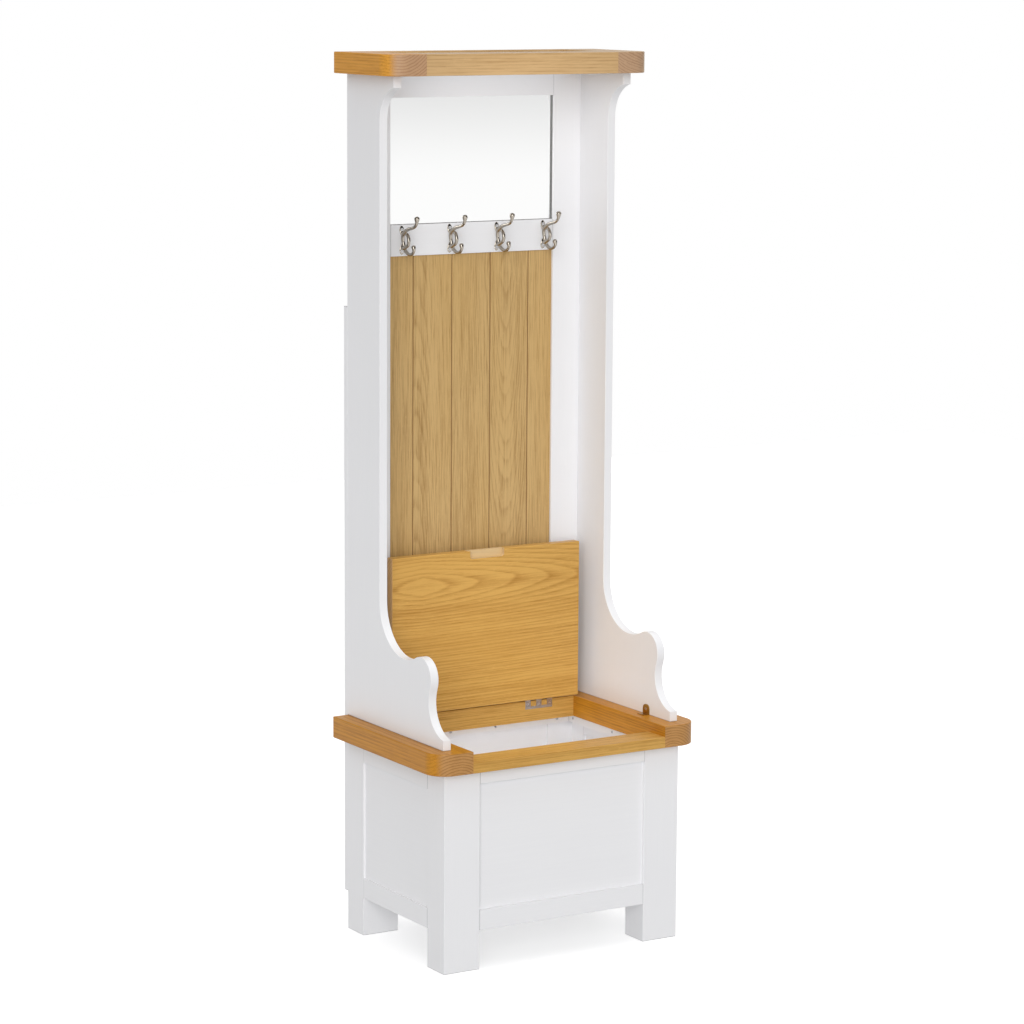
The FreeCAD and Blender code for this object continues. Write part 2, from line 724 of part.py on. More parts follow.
def hinges():
    """Two butt hinges: a comb-shaped leaf on the rear rail, a leaf on the lid, and their pins."""
    pins = []
    for side, sign in (("left", "-"), ("right", "")):
        middle_x = f"{sign}hinge_from_middle"
        rail_leaf = new_body(f"hinge_rail_leaf_{side}")
        back = "-pin_back"
        block(
            rail_leaf,
            "Additive",
            ("hinge_long", "hinge_leaf_thick", "hinge_strip_high"),
            ("-hinge_long / 2", back, "-hinge_leaf_high"),
        )
        for k in RAIL_TURNS:
            x = f"{k} * {PITCH} - hinge_long / 2"
            gap = "knuckle_gap / 2"
            block(
                rail_leaf,
                "Additive",
                (f"{PITCH} - knuckle_gap", "hinge_leaf_thick", "hinge_leaf_high"),
                (f"{x} + {gap}", back, "-hinge_leaf_high"),
            )
        knuckles(rail_leaf, RAIL_TURNS, "pin_radius")
        for k in RAIL_TURNS:
            start = (f"({k} + 0.5) * {PITCH} - hinge_long / 2", back, "-hinge_leaf_high / 2")
            drill(rail_leaf, start, "+Y", "hinge_leaf_thick")
            countersink(rail_leaf, start, "+Y")
        place(rail_leaf, (middle_x, "pin_y", "pin_z"))

        lid_leaf = new_body(f"hinge_lid_leaf_{side}")
        plate = ("hinge_long", "hinge_leaf_thick", "hinge_leaf_high - pin_rise")
        block(
            lid_leaf,
            "Additive",
            plate,
            ("-hinge_long / 2", "-lid_rear - hinge_leaf_thick", "-hinge_leaf_high"),
        )
        for k in LID_TURNS:
            x = f"{k} * {PITCH} - hinge_long / 2 + knuckle_gap / 2"
            wide = f"{PITCH} - knuckle_gap"
            neck = (wide, "hinge_leaf_thick", "pin_rise")
            block(lid_leaf, "Additive", neck, (x, "-lid_rear - hinge_leaf_thick", "-pin_rise"))
            web = (wide, "lid_rear", "hinge_leaf_thick")
            block(lid_leaf, "Additive", web, (x, "-lid_rear", "-hinge_leaf_thick"))
        knuckles(lid_leaf, LID_TURNS, "pin_radius + pin_clearance")
        for k in RAIL_TURNS:
            start = (f"({k} + 0.5) * {PITCH} - hinge_long / 2", "-lid_rear", "-hinge_leaf_high / 2")
            drill(lid_leaf, start, "-Y", "hinge_leaf_thick")
            countersink(lid_leaf, start, "-Y")
        place_on_lid(lid_leaf, (middle_x, "0", "0"))

        pin = doc.addObject("Part::Cylinder", f"hinge_pin_{side}")
        pin.Placement = Placement(Vector(0, 0, 0), TURN_TO["+X"])
        bind(pin, "Radius", "pin_radius")
        bind(pin, "Height", "hinge_long - knuckle_gap")
        place(pin, (f"{middle_x} - hinge_long / 2 + knuckle_gap / 2", "pin_y", "pin_z"))
        pins.append(pin)
    group = doc.addObject("Part::Compound", "hinge_pins")
    group.Links = pins
    keep(group, "hinge_pins")


# ---------------------------------------------------------------- uprights


def scroll_points():
    """Where the scroll's arcs have their centres, so that each one touches the next."""
    foot_x = -read("seat_deep") + read("foot_front_inset")
    foot = Vector(foot_x, read("foot_end_high"), 0)
    knob = Vector(foot_x + read("knob_from_foot"), read("knob_above_seat"), 0)
    knob_r, foot_r, rise = read("knob_radius"), read("foot_sweep_radius"), read("sweep_rise")
    reach = (knob - foot).Length
    along = (reach**2 - 2 * foot_r * knob_r - knob_r**2) / (2 * reach)
    up = (knob - foot).normalize()
    outwards = Vector(-up.y, up.x, 0)
    foot_centre = foot + up * along + outwards * math.sqrt(foot_r**2 - along**2)
    reach = -knob.x - read("upright_deep")
    sweep_r = (reach**2 + rise**2 - knob_r**2) / (2 * (knob_r + reach))
    sweep = Vector(-read("upright_deep") - sweep_r, knob.y + rise, 0)
    return foot, foot_centre, knob, sweep, sweep_r


def angle_of(point, centre):
    return math.atan2(point.y - centre.y, point.x - centre.x)


def arc(centre, radius, start, end):
    circle = Part.Circle(centre, Vector(0, 0, 1), radius)
    return Part.ArcOfCircle(circle, angle_of(start, centre), angle_of(end, centre))


def upright_outline(sketch):
    """The upright's side outline: back edge at 0, front towards -, from the seat to the cornice."""
    foot, foot_centre, knob, sweep, sweep_r = scroll_points()
    knob_r, foot_r = read("knob_radius"), read("foot_sweep_radius")
    cove_r, deep, head = read("cove_radius"), read("upright_deep"), read("head_deep")
    high = read("total_high") - read("cornice_thick") - read("seat_high")
    lip = high - read("head_lip")
    cove_x = -deep - cove_r
    cove_z = lip - math.sqrt(cove_r**2 - (head + cove_x) ** 2)
    touch_low = knob + (foot_centre - knob) * (knob_r / (knob_r + foot_r))
    touch_high = knob + (sweep - knob) * (knob_r / (knob_r + sweep_r))
    back_foot, front_foot = Vector(0, 0, 0), Vector(foot.x, 0, 0)
    sweep_end, cove_start = Vector(-deep, sweep.y, 0), Vector(-deep, cove_z, 0)
    cove = Vector(cove_x, cove_z, 0)
    lip_foot, lip_top, back_top = Vector(-head, lip, 0), Vector(-head, high, 0), Vector(0, high, 0)
    shapes = (
        Part.LineSegment(back_foot, front_foot),
        Part.LineSegment(front_foot, foot),
        arc(foot_centre, foot_r, foot, touch_low),
        arc(knob, knob_r, touch_high, touch_low),
        arc(sweep, sweep_r, touch_high, sweep_end),
        Part.LineSegment(sweep_end, cove_start),
        arc(cove, cove_r, cove_start, lip_foot),
        Part.LineSegment(lip_foot, lip_top),
        Part.LineSegment(lip_top, back_top),
        Part.LineSegment(back_top, back_foot),
    )
    for shape in shapes:
        sketch.addGeometry(shape)
    constraint = Sketcher.Constraint
    joints = (
        constraint("Coincident", 0, 2, 1, 1),
        constraint("Coincident", 1, 2, 2, 1),
        constraint("Tangent", 2, 2, 3, 2),
        constraint("Tangent", 3, 1, 4, 1),
        constraint("Tangent", 4, 2, 5, 1),
        constraint("Tangent", 5, 2, 6, 1),
        constraint("Coincident", 6, 2, 7, 1),
        constraint("Coincident", 7, 2, 8, 1),
        constraint("Coincident", 8, 2, 9, 1),
        constraint("Coincident", 9, 2, 0, 1),
        constraint("Coincident", 0, 1, -1, 1),
        constraint("Horizontal", 0),
        constraint("Vertical", 1),
        constraint("Vertical", 5),
        constraint("Vertical", 7),
        constraint("Horizontal", 8),
        constraint("Vertical", 9),
    )
    for joint in joints:
        sketch.addConstraint(joint)
    measures = (
        ("foot_deep", constraint("DistanceX", 0, 2, 0, 1, -foot.x), "foot_deep"),
        ("foot_end", constraint("DistanceY", 1, 1, 1, 2, foot.y), "foot_end_high"),
        ("foot_radius", constraint("Radius", 2, foot_r), "foot_sweep_radius"),
        ("knob_radius", constraint("Radius", 3, knob_r), "knob_radius"),
        ("knob_back", constraint("DistanceX", 3, 3, -1, 1, -knob.x), "knob_from_back"),
        ("knob_up", constraint("DistanceY", -1, 1, 3, 3, knob.y), "knob_above_seat"),
        ("sweep_rise", constraint("DistanceY", 3, 3, 4, 3, sweep.y - knob.y), "sweep_rise"),
        ("narrow", constraint("DistanceX", 5, 1, -1, 1, deep), "upright_deep"),
        ("cove_radius", constraint("Radius", 6, cove_r), "cove_radius"),
        ("head_deep", constraint("DistanceX", 7, 1, -1, 1, head), "head_deep"),
        ("lip", constraint("DistanceY", 7, 1, 7, 2, high - lip), "head_lip"),
        ("high", constraint("DistanceY", 9, 2, 9, 1, high), "cornice_under - seat_high"),
    )
    for name, measure, text in measures:
        index = sketch.addConstraint(measure)
        sketch.renameConstraint(index, name)
        bind(sketch, f"Constraints.{name}", text)


def uprights():
    """Two scrolled side boards that stand on the seat frame and carry the cornice."""
    for side in ("left", "right"):
        left = side == "left"
        body = new_body(f"upright_{side}")
        sketch = new_sketch(body, "YZ_Plane")
        upright_outline(sketch)
        pad = body.newObject("PartDesign::Pad", body.Name + "_pad")
        pad.Profile = sketch
        sketch.Visibility = False
        bind(pad, "Length", "upright_thick")
        soften(body, pad, "arris")
        inner_x = "upright_thick" if left else "0"
        bracket_y = "-seat_deep + bracket_from_front"
        start = (inner_x, bracket_y, "bracket_high - bracket_round")
        way = "-X" if left else "+X"
        head_x = "upright_thick + bracket_thick" if left else "-bracket_thick"
        drill(body, start, way, "screw_long - bracket_thick")
        countersink(body, (head_x, *start[1:]), way)
        for z in UPRIGHT_BATTEN_SCREWS:
            start = ("upright_thick / 2", "0", f"{z} - seat_high")
            drill(body, start, "-Y", "frame_screw_long - batten_thick")
        place(body, ("-base_half" if left else "upright_inner_half", "back_y", "seat_high"))


# ---------------------------------------------------------------- back frame, mirror, boards


def back_frame():
    """Stiles and rails that hold the mirror above and the oak boards below."""
    span = "2 * opening_half"
    rail_low = "-opening_half"
    rebate_deep = "frame_thick - mirror_lip"
    groove_y = "board_lip - board_play"
    groove_thick = "board_thick + 2 * board_play"
    mirror_z = "mirror_bottom - rebate - seat_high"
    for side in ("left", "right"):
        left = side == "left"
        stile = board(
            f"back_stile_{side}",
            ("stile_wide", "frame_thick", "cornice_under - seat_high"),
            ("-upright_inner_half" if left else "opening_half", "frame_front_y", "seat_high"),
        )
        x = "stile_wide - rebate" if left else "0"
        cut(stile, ("rebate", rebate_deep, "mirror_high + 2 * rebate"), (x, "mirror_lip", mirror_z))
        boards_high = "hook_rail_bottom - boards_bottom + 2 * rebate"
        cut(stile, ("rebate", groove_thick, boards_high), (x, groove_y, "back_bottom_rail_high - rebate"))
    top = board(
        "back_top_rail",
        (span, "frame_thick", "top_rail_high"),
        (rail_low, "frame_front_y", "mirror_top"),
    )
    cut(top, (span, rebate_deep, "rebate"), ("0", "mirror_lip", "0"))
    hook_rail = board(
        "hook_rail",
        (span, "frame_thick", "hook_rail_high"),
        (rail_low, "frame_front_y", "hook_rail_bottom"),
    )
    cut(hook_rail, (span, rebate_deep, "rebate"), ("0", "mirror_lip", "hook_rail_high - rebate"))
    cut(hook_rail, (span, groove_thick, "rebate"), ("0", groove_y, "0"))
    for number in range(HOOKS):
        x = f"opening_half + ({number} - {(HOOKS - 1) / 2}) * hook_spacing"
        for rise in HOOK_SCREW_RISES:
            z = f"hook_rail_high - hook_below_rail_top + ({rise})"
            drill(hook_rail, (x, "0", z), "+Y", "screw_long - hook_pad_thick")
    bottom = board(
        "back_bottom_rail",
        (span, "frame_thick", "back_bottom_rail_high"),
        (rail_low, "frame_front_y", "seat_high"),
    )
    cut(bottom, (span, groove_thick, "rebate"), ("0", groove_y, "back_bottom_rail_high - rebate"))


def mirror():
    """The glass in the frame's rebate, with a backing board behind it."""
    inner = "(rebate - panel_play)"
    size = (f"2 * opening_half + 2 * {inner}", "mirror_thick", f"mirror_high + 2 * {inner}")
    low = (f"-opening_half - {inner}", "glass_front_y", f"mirror_bottom - {inner}")
    board("mirror_glass", size, low, arris=None)
    board(
        "mirror_backing",
        (size[0], "backing_thick", size[2]),
        (low[0], "glass_front_y + mirror_thick", low[2]),
        arris=None,
    )


def back_boards():
    """Tongued and grooved oak boards: three full ones and a narrow one at each side."""
    reach = "(rebate - panel_play)"
    high = f"hook_rail_bottom - boards_bottom + 2 * {reach}"
    edge = "1.5 * board_wide"
    tongue_y = "(board_thick - board_tongue_thick) / 2"
    for number in range(5):
        wide = "board_wide"
        low_x = f"-{edge} + ({number} - 1) * board_wide"
        if number in (0, 4):
            wide = f"opening_half + {reach} - {edge}"
        if number == 0:
            low_x = f"-opening_half - {reach}"
        plank = board(
            f"back_board_{number + 1}",
            (wide, "board_thick", high),
            (low_x, "board_front_y", f"boards_bottom - {reach}"),
            arris=None,
        )
        doc.recompute()
        base = plank.Tip
        vee = plank.newObject("PartDesign::Chamfer", plank.Name + "_vee")
        vee.Base = (base, edges_where(base.Shape, upright_front_edge))
        bind(vee, "Size", "board_vee")
        if number < 4:
            tongue = ("board_tongue_long", "board_tongue_thick", high)
            block(plank, "Additive", tongue, (wide, tongue_y, "0"))
        if number > 0:
            groove = ("board_tongue_long + board_play", "board_tongue_thick + 2 * board_play", high)
            cut(plank, groove, ("0", f"{tongue_y} - board_play", "0"))


def upright_front_edge(edge):
    return edge.BoundBox.ZLength > TOUCH and edge.BoundBox.YMax < TOUCH


# ---------------------------------------------------------------- cornice


def cornice():
    """An oak frame like the seat's, with a thin panel let in near its underside."""
    half = "(seat_wide / 2 - cornice_inset)"
    inner_half = f"({half} - cornice_side_wide)"
    panel_reach = f"({PANEL_REACH})"
    low_y = "back_y - cornice_deep"
    groove_x = f"2 * {inner_half}"
    clear_y = "cornice_deep - cornice_front_deep - cornice_rear_deep"
    for side in ("left", "right"):
        left = side == "left"
        rail = rounded_side_rail(
            f"cornice_rail_{side}",
            ("cornice_side_wide", "cornice_deep", "cornice_thick"),
            (f"-{half}" if left else inner_half, low_y, "cornice_under"),
            left,
        )
        x = "cornice_side_wide - panel_tongue" if left else "0"
        cut(
            rail,
            ("panel_tongue", f"{clear_y} + 2 * panel_tongue", "cornice_panel_thick"),
            (x, "cornice_front_deep - panel_tongue", "cornice_panel_lift"),
        )
    front = board(
        "cornice_rail_front",
        (groove_x, "cornice_front_deep", "cornice_thick"),
        (f"-{inner_half}", low_y, "cornice_under"),
        "oak_arris",
        lengthways,
    )
    cut(
        front,
        (groove_x, "panel_tongue", "cornice_panel_thick"),
        ("0", "cornice_front_deep - panel_tongue", "cornice_panel_lift"),
    )
    rear = board(
        "cornice_rail_rear",
        (groove_x, "cornice_rear_deep", "cornice_thick"),
        (f"-{inner_half}", "back_y - cornice_rear_deep", "cornice_under"),
        "oak_arris",
        lengthways,
    )
    cut(rear, (groove_x, "panel_tongue", "cornice_panel_thick"), ("0", "0", "cornice_panel_lift"))
    board(
        "cornice_panel",
        (f"{groove_x} + 2 * {panel_reach}", f"{clear_y} + 2 * {panel_reach}", "cornice_panel_thick"),
        (
            f"-{inner_half} - {panel_reach}",
            f"{low_y} + cornice_front_deep - {panel_reach}",
            "cornice_under + cornice_panel_lift",
        ),
        arris=None,
    )


# ---------------------------------------------------------------- coat hooks


def bent_rod(points, radius):
    """A round rod along straight runs joined by the widest tangent arcs the runs allow."""
    edges = []
    start = points[0]
    for before, corner, after in zip(points, points[1:], points[2:]):
        into = (corner - before).normalize()
        out = (after - corner).normalize()
        trim = 0.45 * min((corner - before).Length, (after - corner).Length)
        half_turn = into.getAngle(out) / 2
        bend = trim / math.tan(half_turn)
        inwards = (out - into).normalize()
        middle = corner + inwards * (bend / math.cos(half_turn) - bend)
        arc_start, arc_end = corner - into * trim, corner + out * trim
        edges.append(Part.LineSegment(start, arc_start).toShape())
        edges.append(Part.Arc(arc_start, middle, arc_end).toShape())
        start = arc_end
    edges.append(Part.LineSegment(start, points[-1]).toShape())
    path = Part.Wire(edges)
    ring = Part.Wire(Part.makeCircle(radius, points[0], (points[1] - points[0]).normalize()))
    return path.makePipeShell([ring], True, False)


def hook_shape():
    """One cast hook: two strands cross above and below an eye, a long arm over a short crook."""
    near, far = read("hook_eye_near"), read("hook_eye_far")
    cross_out, cross_rise = read("hook_cross_out"), read("hook_cross_rise")
    shoulder = cross_rise - read("hook_eye_shoulder")
    arm_out, arm_rise, elbow = read("hook_arm_out"), read("hook_arm_rise"), read("hook_arm_elbow")
    crook_out, crook_low = read("hook_crook_out"), -read("hook_crook_drop")
    crook_elbow = read("hook_crook_elbow")
    crook_tip = crook_low + read("hook_crook_tip_rise")
    pad_radius, pad_thick = read("hook_pad_radius"), read("screw_head_deep") + read("hook_pad_floor")
    pads = (read("hook_top_pad_rise"), -read("hook_foot_pad_drop"))
    rod = read("hook_rod_radius")
    in_pad = pad_radius - rod / 3
    crossing_top = (cross_out, cross_rise)
    crossing_foot = (cross_out - rod / 2, -cross_rise)

    def strand(route):
        return bent_rod([Vector(0, -out, rise) for out, rise in route], rod)

    outer = strand(
        (
            (pad_thick / 2, pads[0] - in_pad),
            crossing_top,
            (far - rod, shoulder + rod),
            (far, 0),
            (far - rod, -shoulder - rod),
            crossing_foot,
            (pad_thick / 2, pads[1] + in_pad),
        )
    )
    inner = strand(
        (
            (arm_out, arm_rise),
            (arm_out - rod, arm_rise - elbow),
            (arm_out - elbow, arm_rise - elbow - 2 * rod),
            ((arm_out + cross_out) / 2, (arm_rise + cross_rise) / 2 - 2 * rod),
            crossing_top,
            (near, shoulder),
            (near, -shoulder),
            crossing_foot,
            ((crook_out + cross_out) / 2 - crook_elbow, crook_low + rod),
            (crook_out - crook_elbow, crook_low),
            (crook_out, crook_low + 2 * rod),
            (crook_out, crook_tip),
        )
    )
    arm_ball = Part.makeSphere(read("hook_arm_ball"), Vector(0, -arm_out, arm_rise))
    crook_ball = Part.makeSphere(read("hook_crook_ball"), Vector(0, -crook_out, crook_tip))
    plates = [
        Part.makeCylinder(pad_radius, pad_thick, Vector(0, 0, rise), Vector(0, -1, 0)) for rise in pads
    ]
    shape = outer.fuse([inner, arm_ball, crook_ball, *plates]).removeSplitter()
    head, shank, deep = read("screw_head_radius"), read("screw_shank_radius"), read("screw_head_deep")
    reach = 2 * pad_radius
    for rise in pads:
        face = Vector(0, -pad_thick, rise)
        shape = shape.cut(Part.makeCone(head, shank, deep, face, Vector(0, 1, 0)))
        shape = shape.cut(Part.makeCylinder(shank, pad_thick, Vector(0, 0, rise), Vector(0, -1, 0)))
        shape = shape.cut(Part.makeCylinder(head + HEAD_PLAY, reach, face, Vector(0, -1, 0)))
    return shape


def coat_hooks():
    shape = hook_shape()
    for number in range(HOOKS):
        hook = doc.addObject("Part::Feature", f"coat_hook_{number + 1}")
        hook.Shape = shape
        keep(hook, f"coat_hook_{number + 1}")
        place(hook, (hook_x(number), "frame_front_y", "hook_z"))


def hook_x(number):
    return f"({number} - {(HOOKS - 1) / 2}) * hook_spacing"


# ---------------------------------------------------------------- brackets and battens


def corner_brackets():
    """A small angle bracket inside each upright's foot, one leg on the upright, one on the seat."""
    for side in ("left", "right"):
        left = side == "left"
        bracket = new_body(f"corner_bracket_{side}")
        wall_x = "0" if left else "-bracket_thick"
        foot_x = "0" if left else "-bracket_foot"
        wall = block(
            bracket,
            "Additive",
            ("bracket_thick", "bracket_wide", "bracket_high"),
            (wall_x, "-bracket_wide / 2", "0"),
        )
        doc.recompute()
        crown = bracket.newObject("PartDesign::Fillet", f"bracket_crown_{side}")
        top_z = wall.Shape.BoundBox.ZMax
        crown.Base = (wall, edges_where(wall.Shape, lambda edge: crown_corner(edge, top_z)))
        bind(crown, "Radius", "bracket_round")
        block(
            bracket,
            "Additive",
            ("bracket_foot", "bracket_wide", "bracket_thick"),
            (foot_x, "-bracket_wide / 2", "0"),
        )
        way = "-X" if left else "+X"
        for start, turn in bracket_screw_places(left):
            drill(bracket, start, turn or way, "bracket_thick")
            countersink(bracket, start, turn or way)
        place(bracket, bracket_corner(left))


def crown_corner(edge, top_z):
    box = edge.BoundBox
    return box.YLength < TOUCH and abs(box.Center.z - top_z) < TOUCH


def bracket_corner(left):
    wall = "-upright_inner_half" if left else "upright_inner_half"
    return (wall, "front_y + bracket_from_front", "seat_high")


def bracket_screw_places(left):
    """Screw heads on a bracket, from its inner corner: one in the wall leg, one in the foot."""
    sign = "" if left else "-"
    wall = ((f"{sign}bracket_thick", "0", "bracket_high - bracket_round"), None)
    foot = ((f"{sign}bracket_foot / 2", "0", "bracket_thick"), "-Z")
    return wall, foot


def rear_battens():
    """Two tall battens screwed across the joint between the chest and the upper part."""
    for side in ("left", "right"):
        left = side == "left"
        batten = board(
            f"rear_batten_{side}",
            ("batten_wide", "batten_thick", "batten_top - rail_lift"),
            ("-base_half" if left else "base_half - batten_wide", "back_y", "rail_lift"),
        )
        x = "upright_thick / 2" if left else "batten_wide - upright_thick / 2"
        for z in LEG_BATTEN_SCREWS + UPRIGHT_BATTEN_SCREWS:
            start = (x, "batten_thick", f"{z} - rail_lift")
            drill(batten, start, "-Y", "batten_thick")
            countersink(batten, start, "-Y")


# ---------------------------------------------------------------- all screws


def screws():
    """Small screws that hold the fittings, the lid leaves' screws, and long screws in the frame."""
    small, on_lid, long_ones = [], [], []
    cleat_z = "seat_under - cleat_high / 2"
    for number in range(HOOKS):
        for rise in HOOK_SCREW_RISES:
            small.append(((hook_x(number), "frame_front_y - hook_pad_thick", f"hook_z + ({rise})"), "+Y"))
    for side in ("left", "right"):
        left = side == "left"
        sign = "-" if left else ""
        outwards = "-X" if left else "+X"
        corner = bracket_corner(left)
        for start, turn in bracket_screw_places(left):
            head = tuple(f"{a} + ({b})" for a, b in zip(corner, start))
            small.append((head, turn or outwards))
        for k in RAIL_TURNS:
            x = f"{sign}hinge_from_middle + ({k} + 0.5) * {PITCH} - hinge_long / 2"
            small.append(((x, "rear_rail_front_y", "pin_z - hinge_leaf_high / 2"), "+Y"))
            on_lid.append(x)
        cleat_x = "-base_half + rail_thick + cleat_wide" if left else "base_half - rail_thick - cleat_wide"
        for y in (CLEAT_SCREW_FRONT, CLEAT_SCREW_MIDDLE, CLEAT_SCREW_BACK):
            long_ones.append(((cleat_x, y, cleat_z), outwards))
        for x in (CLEAT_SCREW_OUTER_X, CLEAT_SCREW_INNER_X):
            head = (f"{sign}{x}", "base_back_y - rail_thick - cleat_wide", cleat_z)
            long_ones.append((head, "+Y"))
        batten_x = "-base_half + upright_thick / 2" if left else "base_half - upright_thick / 2"
        for z in LEG_BATTEN_SCREWS + UPRIGHT_BATTEN_SCREWS:
            long_ones.append(((batten_x, "back_y + batten_thick", z), "-Y"))
    screw_group("fitting_screws", small)
    screw_group("frame_screws", long_ones, "frame_screw_long")
    lid_screws(on_lid)


def lid_screws(places):
    """The screws in the lid's leaves, standing with the lid."""
    made = []
    for number, x in enumerate(places, start=1):
        one = screw(f"lid_screw_{number}", ("0", "0", "0"), "-Y", "screw_long")
        place_on_lid(one, (x, "-lid_rear", "-hinge_leaf_high / 2"), STANDING * TURN_TO["-Y"])
        made.append(one)
    group = doc.addObject("Part::Compound", "hinge_lid_screws")
    group.Links = made
    keep(group, "hinge_lid_screws")


# ---------------------------------------------------------------- build, check, write


def check():
    """Stop if anything in the document failed or any piece isn't a valid solid."""
    doc.recompute()
    for thing in doc.Objects:
        if {"Invalid", "Error"} & set(thing.State):
            raise RuntimeError(f"{thing.Name} failed: {thing.State}")
    for node in nodes:
        if node.Shape.isNull() or not node.Shape.isValid() or not node.Shape.Solids:
            raise RuntimeError(f"{node.Label} has no valid solid")


def main():
    chest_legs()
    end_frames()
    side_frames()
    chest_floor()
    seat_cleats()
    seat_frame()
    lid()
    hinges()
    uprights()
    back_frame()
    mirror()
    back_boards()
    cornice()
    coat_hooks()
    corner_brackets()
    rear_battens()
    screws()
    check()
    os.makedirs("parts", exist_ok=True)
    for node in nodes:
        node.Shape.exportStep(f"parts/{node.Label}.step")
    print(len(nodes), "nodes")


main()
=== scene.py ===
import json
import math

import bmesh
import bpy
from mathutils import Matrix, Vector


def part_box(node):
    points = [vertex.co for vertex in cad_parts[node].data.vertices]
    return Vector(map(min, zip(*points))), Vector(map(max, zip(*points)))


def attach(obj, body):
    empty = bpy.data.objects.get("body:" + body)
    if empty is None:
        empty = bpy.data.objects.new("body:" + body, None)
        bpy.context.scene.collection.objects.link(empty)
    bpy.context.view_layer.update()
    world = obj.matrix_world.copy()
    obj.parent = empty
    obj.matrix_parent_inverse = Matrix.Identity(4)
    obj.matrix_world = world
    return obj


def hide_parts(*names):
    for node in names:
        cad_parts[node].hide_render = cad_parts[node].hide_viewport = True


# Looks of the hall tree: satin white paint on the joinery, lacquered oak on the seat, lid, boards
# and cornice, a silvered mirror, nickel coat hooks, bronzed brackets and zinc hinges.
# Metres; +Z up, -Y to the front, +X to the right seen from the front.

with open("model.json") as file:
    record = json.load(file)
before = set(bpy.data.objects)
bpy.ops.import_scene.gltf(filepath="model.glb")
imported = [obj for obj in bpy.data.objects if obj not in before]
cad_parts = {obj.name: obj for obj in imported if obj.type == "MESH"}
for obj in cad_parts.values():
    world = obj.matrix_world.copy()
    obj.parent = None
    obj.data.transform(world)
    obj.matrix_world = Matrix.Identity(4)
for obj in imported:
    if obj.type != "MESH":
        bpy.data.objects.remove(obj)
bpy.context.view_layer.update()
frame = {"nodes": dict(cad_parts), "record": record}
MM = 0.001
X, Y, Z = 0, 1, 2


def tint(red, green, blue):
    return (red, green, blue, 1.0)


def stand(name, data):
    """A new object in the scene that holds data."""
    made = bpy.data.objects.new(name, data)
    bpy.context.scene.collection.objects.link(made)
    return made


# ---------------------------------------------------------------- finishes


class Reading:
    """A value in a web of nodes; sums and products of readings add the nodes for them."""

    def __init__(self, web, socket):
        self.web = web
        self.socket = socket

    def math(self, operation, *inputs):
        return self.web.node("ShaderNodeMath", {"operation": operation}, dict(enumerate(inputs)))

    def __add__(self, other):
        return self.math("ADD", self, other)

    def __radd__(self, other):
        return self.math("ADD", other, self)

    def __sub__(self, other):
        return self.math("SUBTRACT", self, other)

    def __rsub__(self, other):
        return self.math("SUBTRACT", other, self)

    def __mul__(self, other):
        return self.math("MULTIPLY", self, other)

    def __rmul__(self, other):
        return self.math("MULTIPLY", other, self)

    def __truediv__(self, other):
        return self.math("DIVIDE", self, other)

    def __pow__(self, other):
        return self.math("POWER", self, other)

    def __gt__(self, other):
        return self.math("GREATER_THAN", self, other)

    def __abs__(self):
        return self.math("ABSOLUTE", self)

    def root(self):
        return self.math("SQRT", self)

    def part(self):
        return self.math("FRACT", self)

    def between(self, low, high):
        """A reading from 0 to 1 stretched between two numbers."""
        return self * (high - low) + low


class Web:
    """A tree of shader nodes."""

    def __init__(self, tree):
        self.tree = tree

    def join(self, socket, value):
        if isinstance(value, Reading):
            self.tree.links.new(value.socket, socket)
        else:
            socket.default_value = value

    def node(self, kind, settings=None, sockets=None, out=0):
        """A node of any kind: its settings first, then the values or links of its sockets."""
        made = self.tree.nodes.new(kind)
        for name, value in (settings or {}).items():
            if name == "stops":
                ramp = made.color_ramp.elements
                while len(ramp) < len(value):
                    ramp.new(1.0)
                for stop, (place, colour) in zip(ramp, value):
                    stop.position = place
                    stop.color = colour
            else:
                setattr(made, name, value)
        for name, value in (sockets or {}).items():
            self.join(made.inputs[name], value)
        return Reading(self, made.outputs[out])


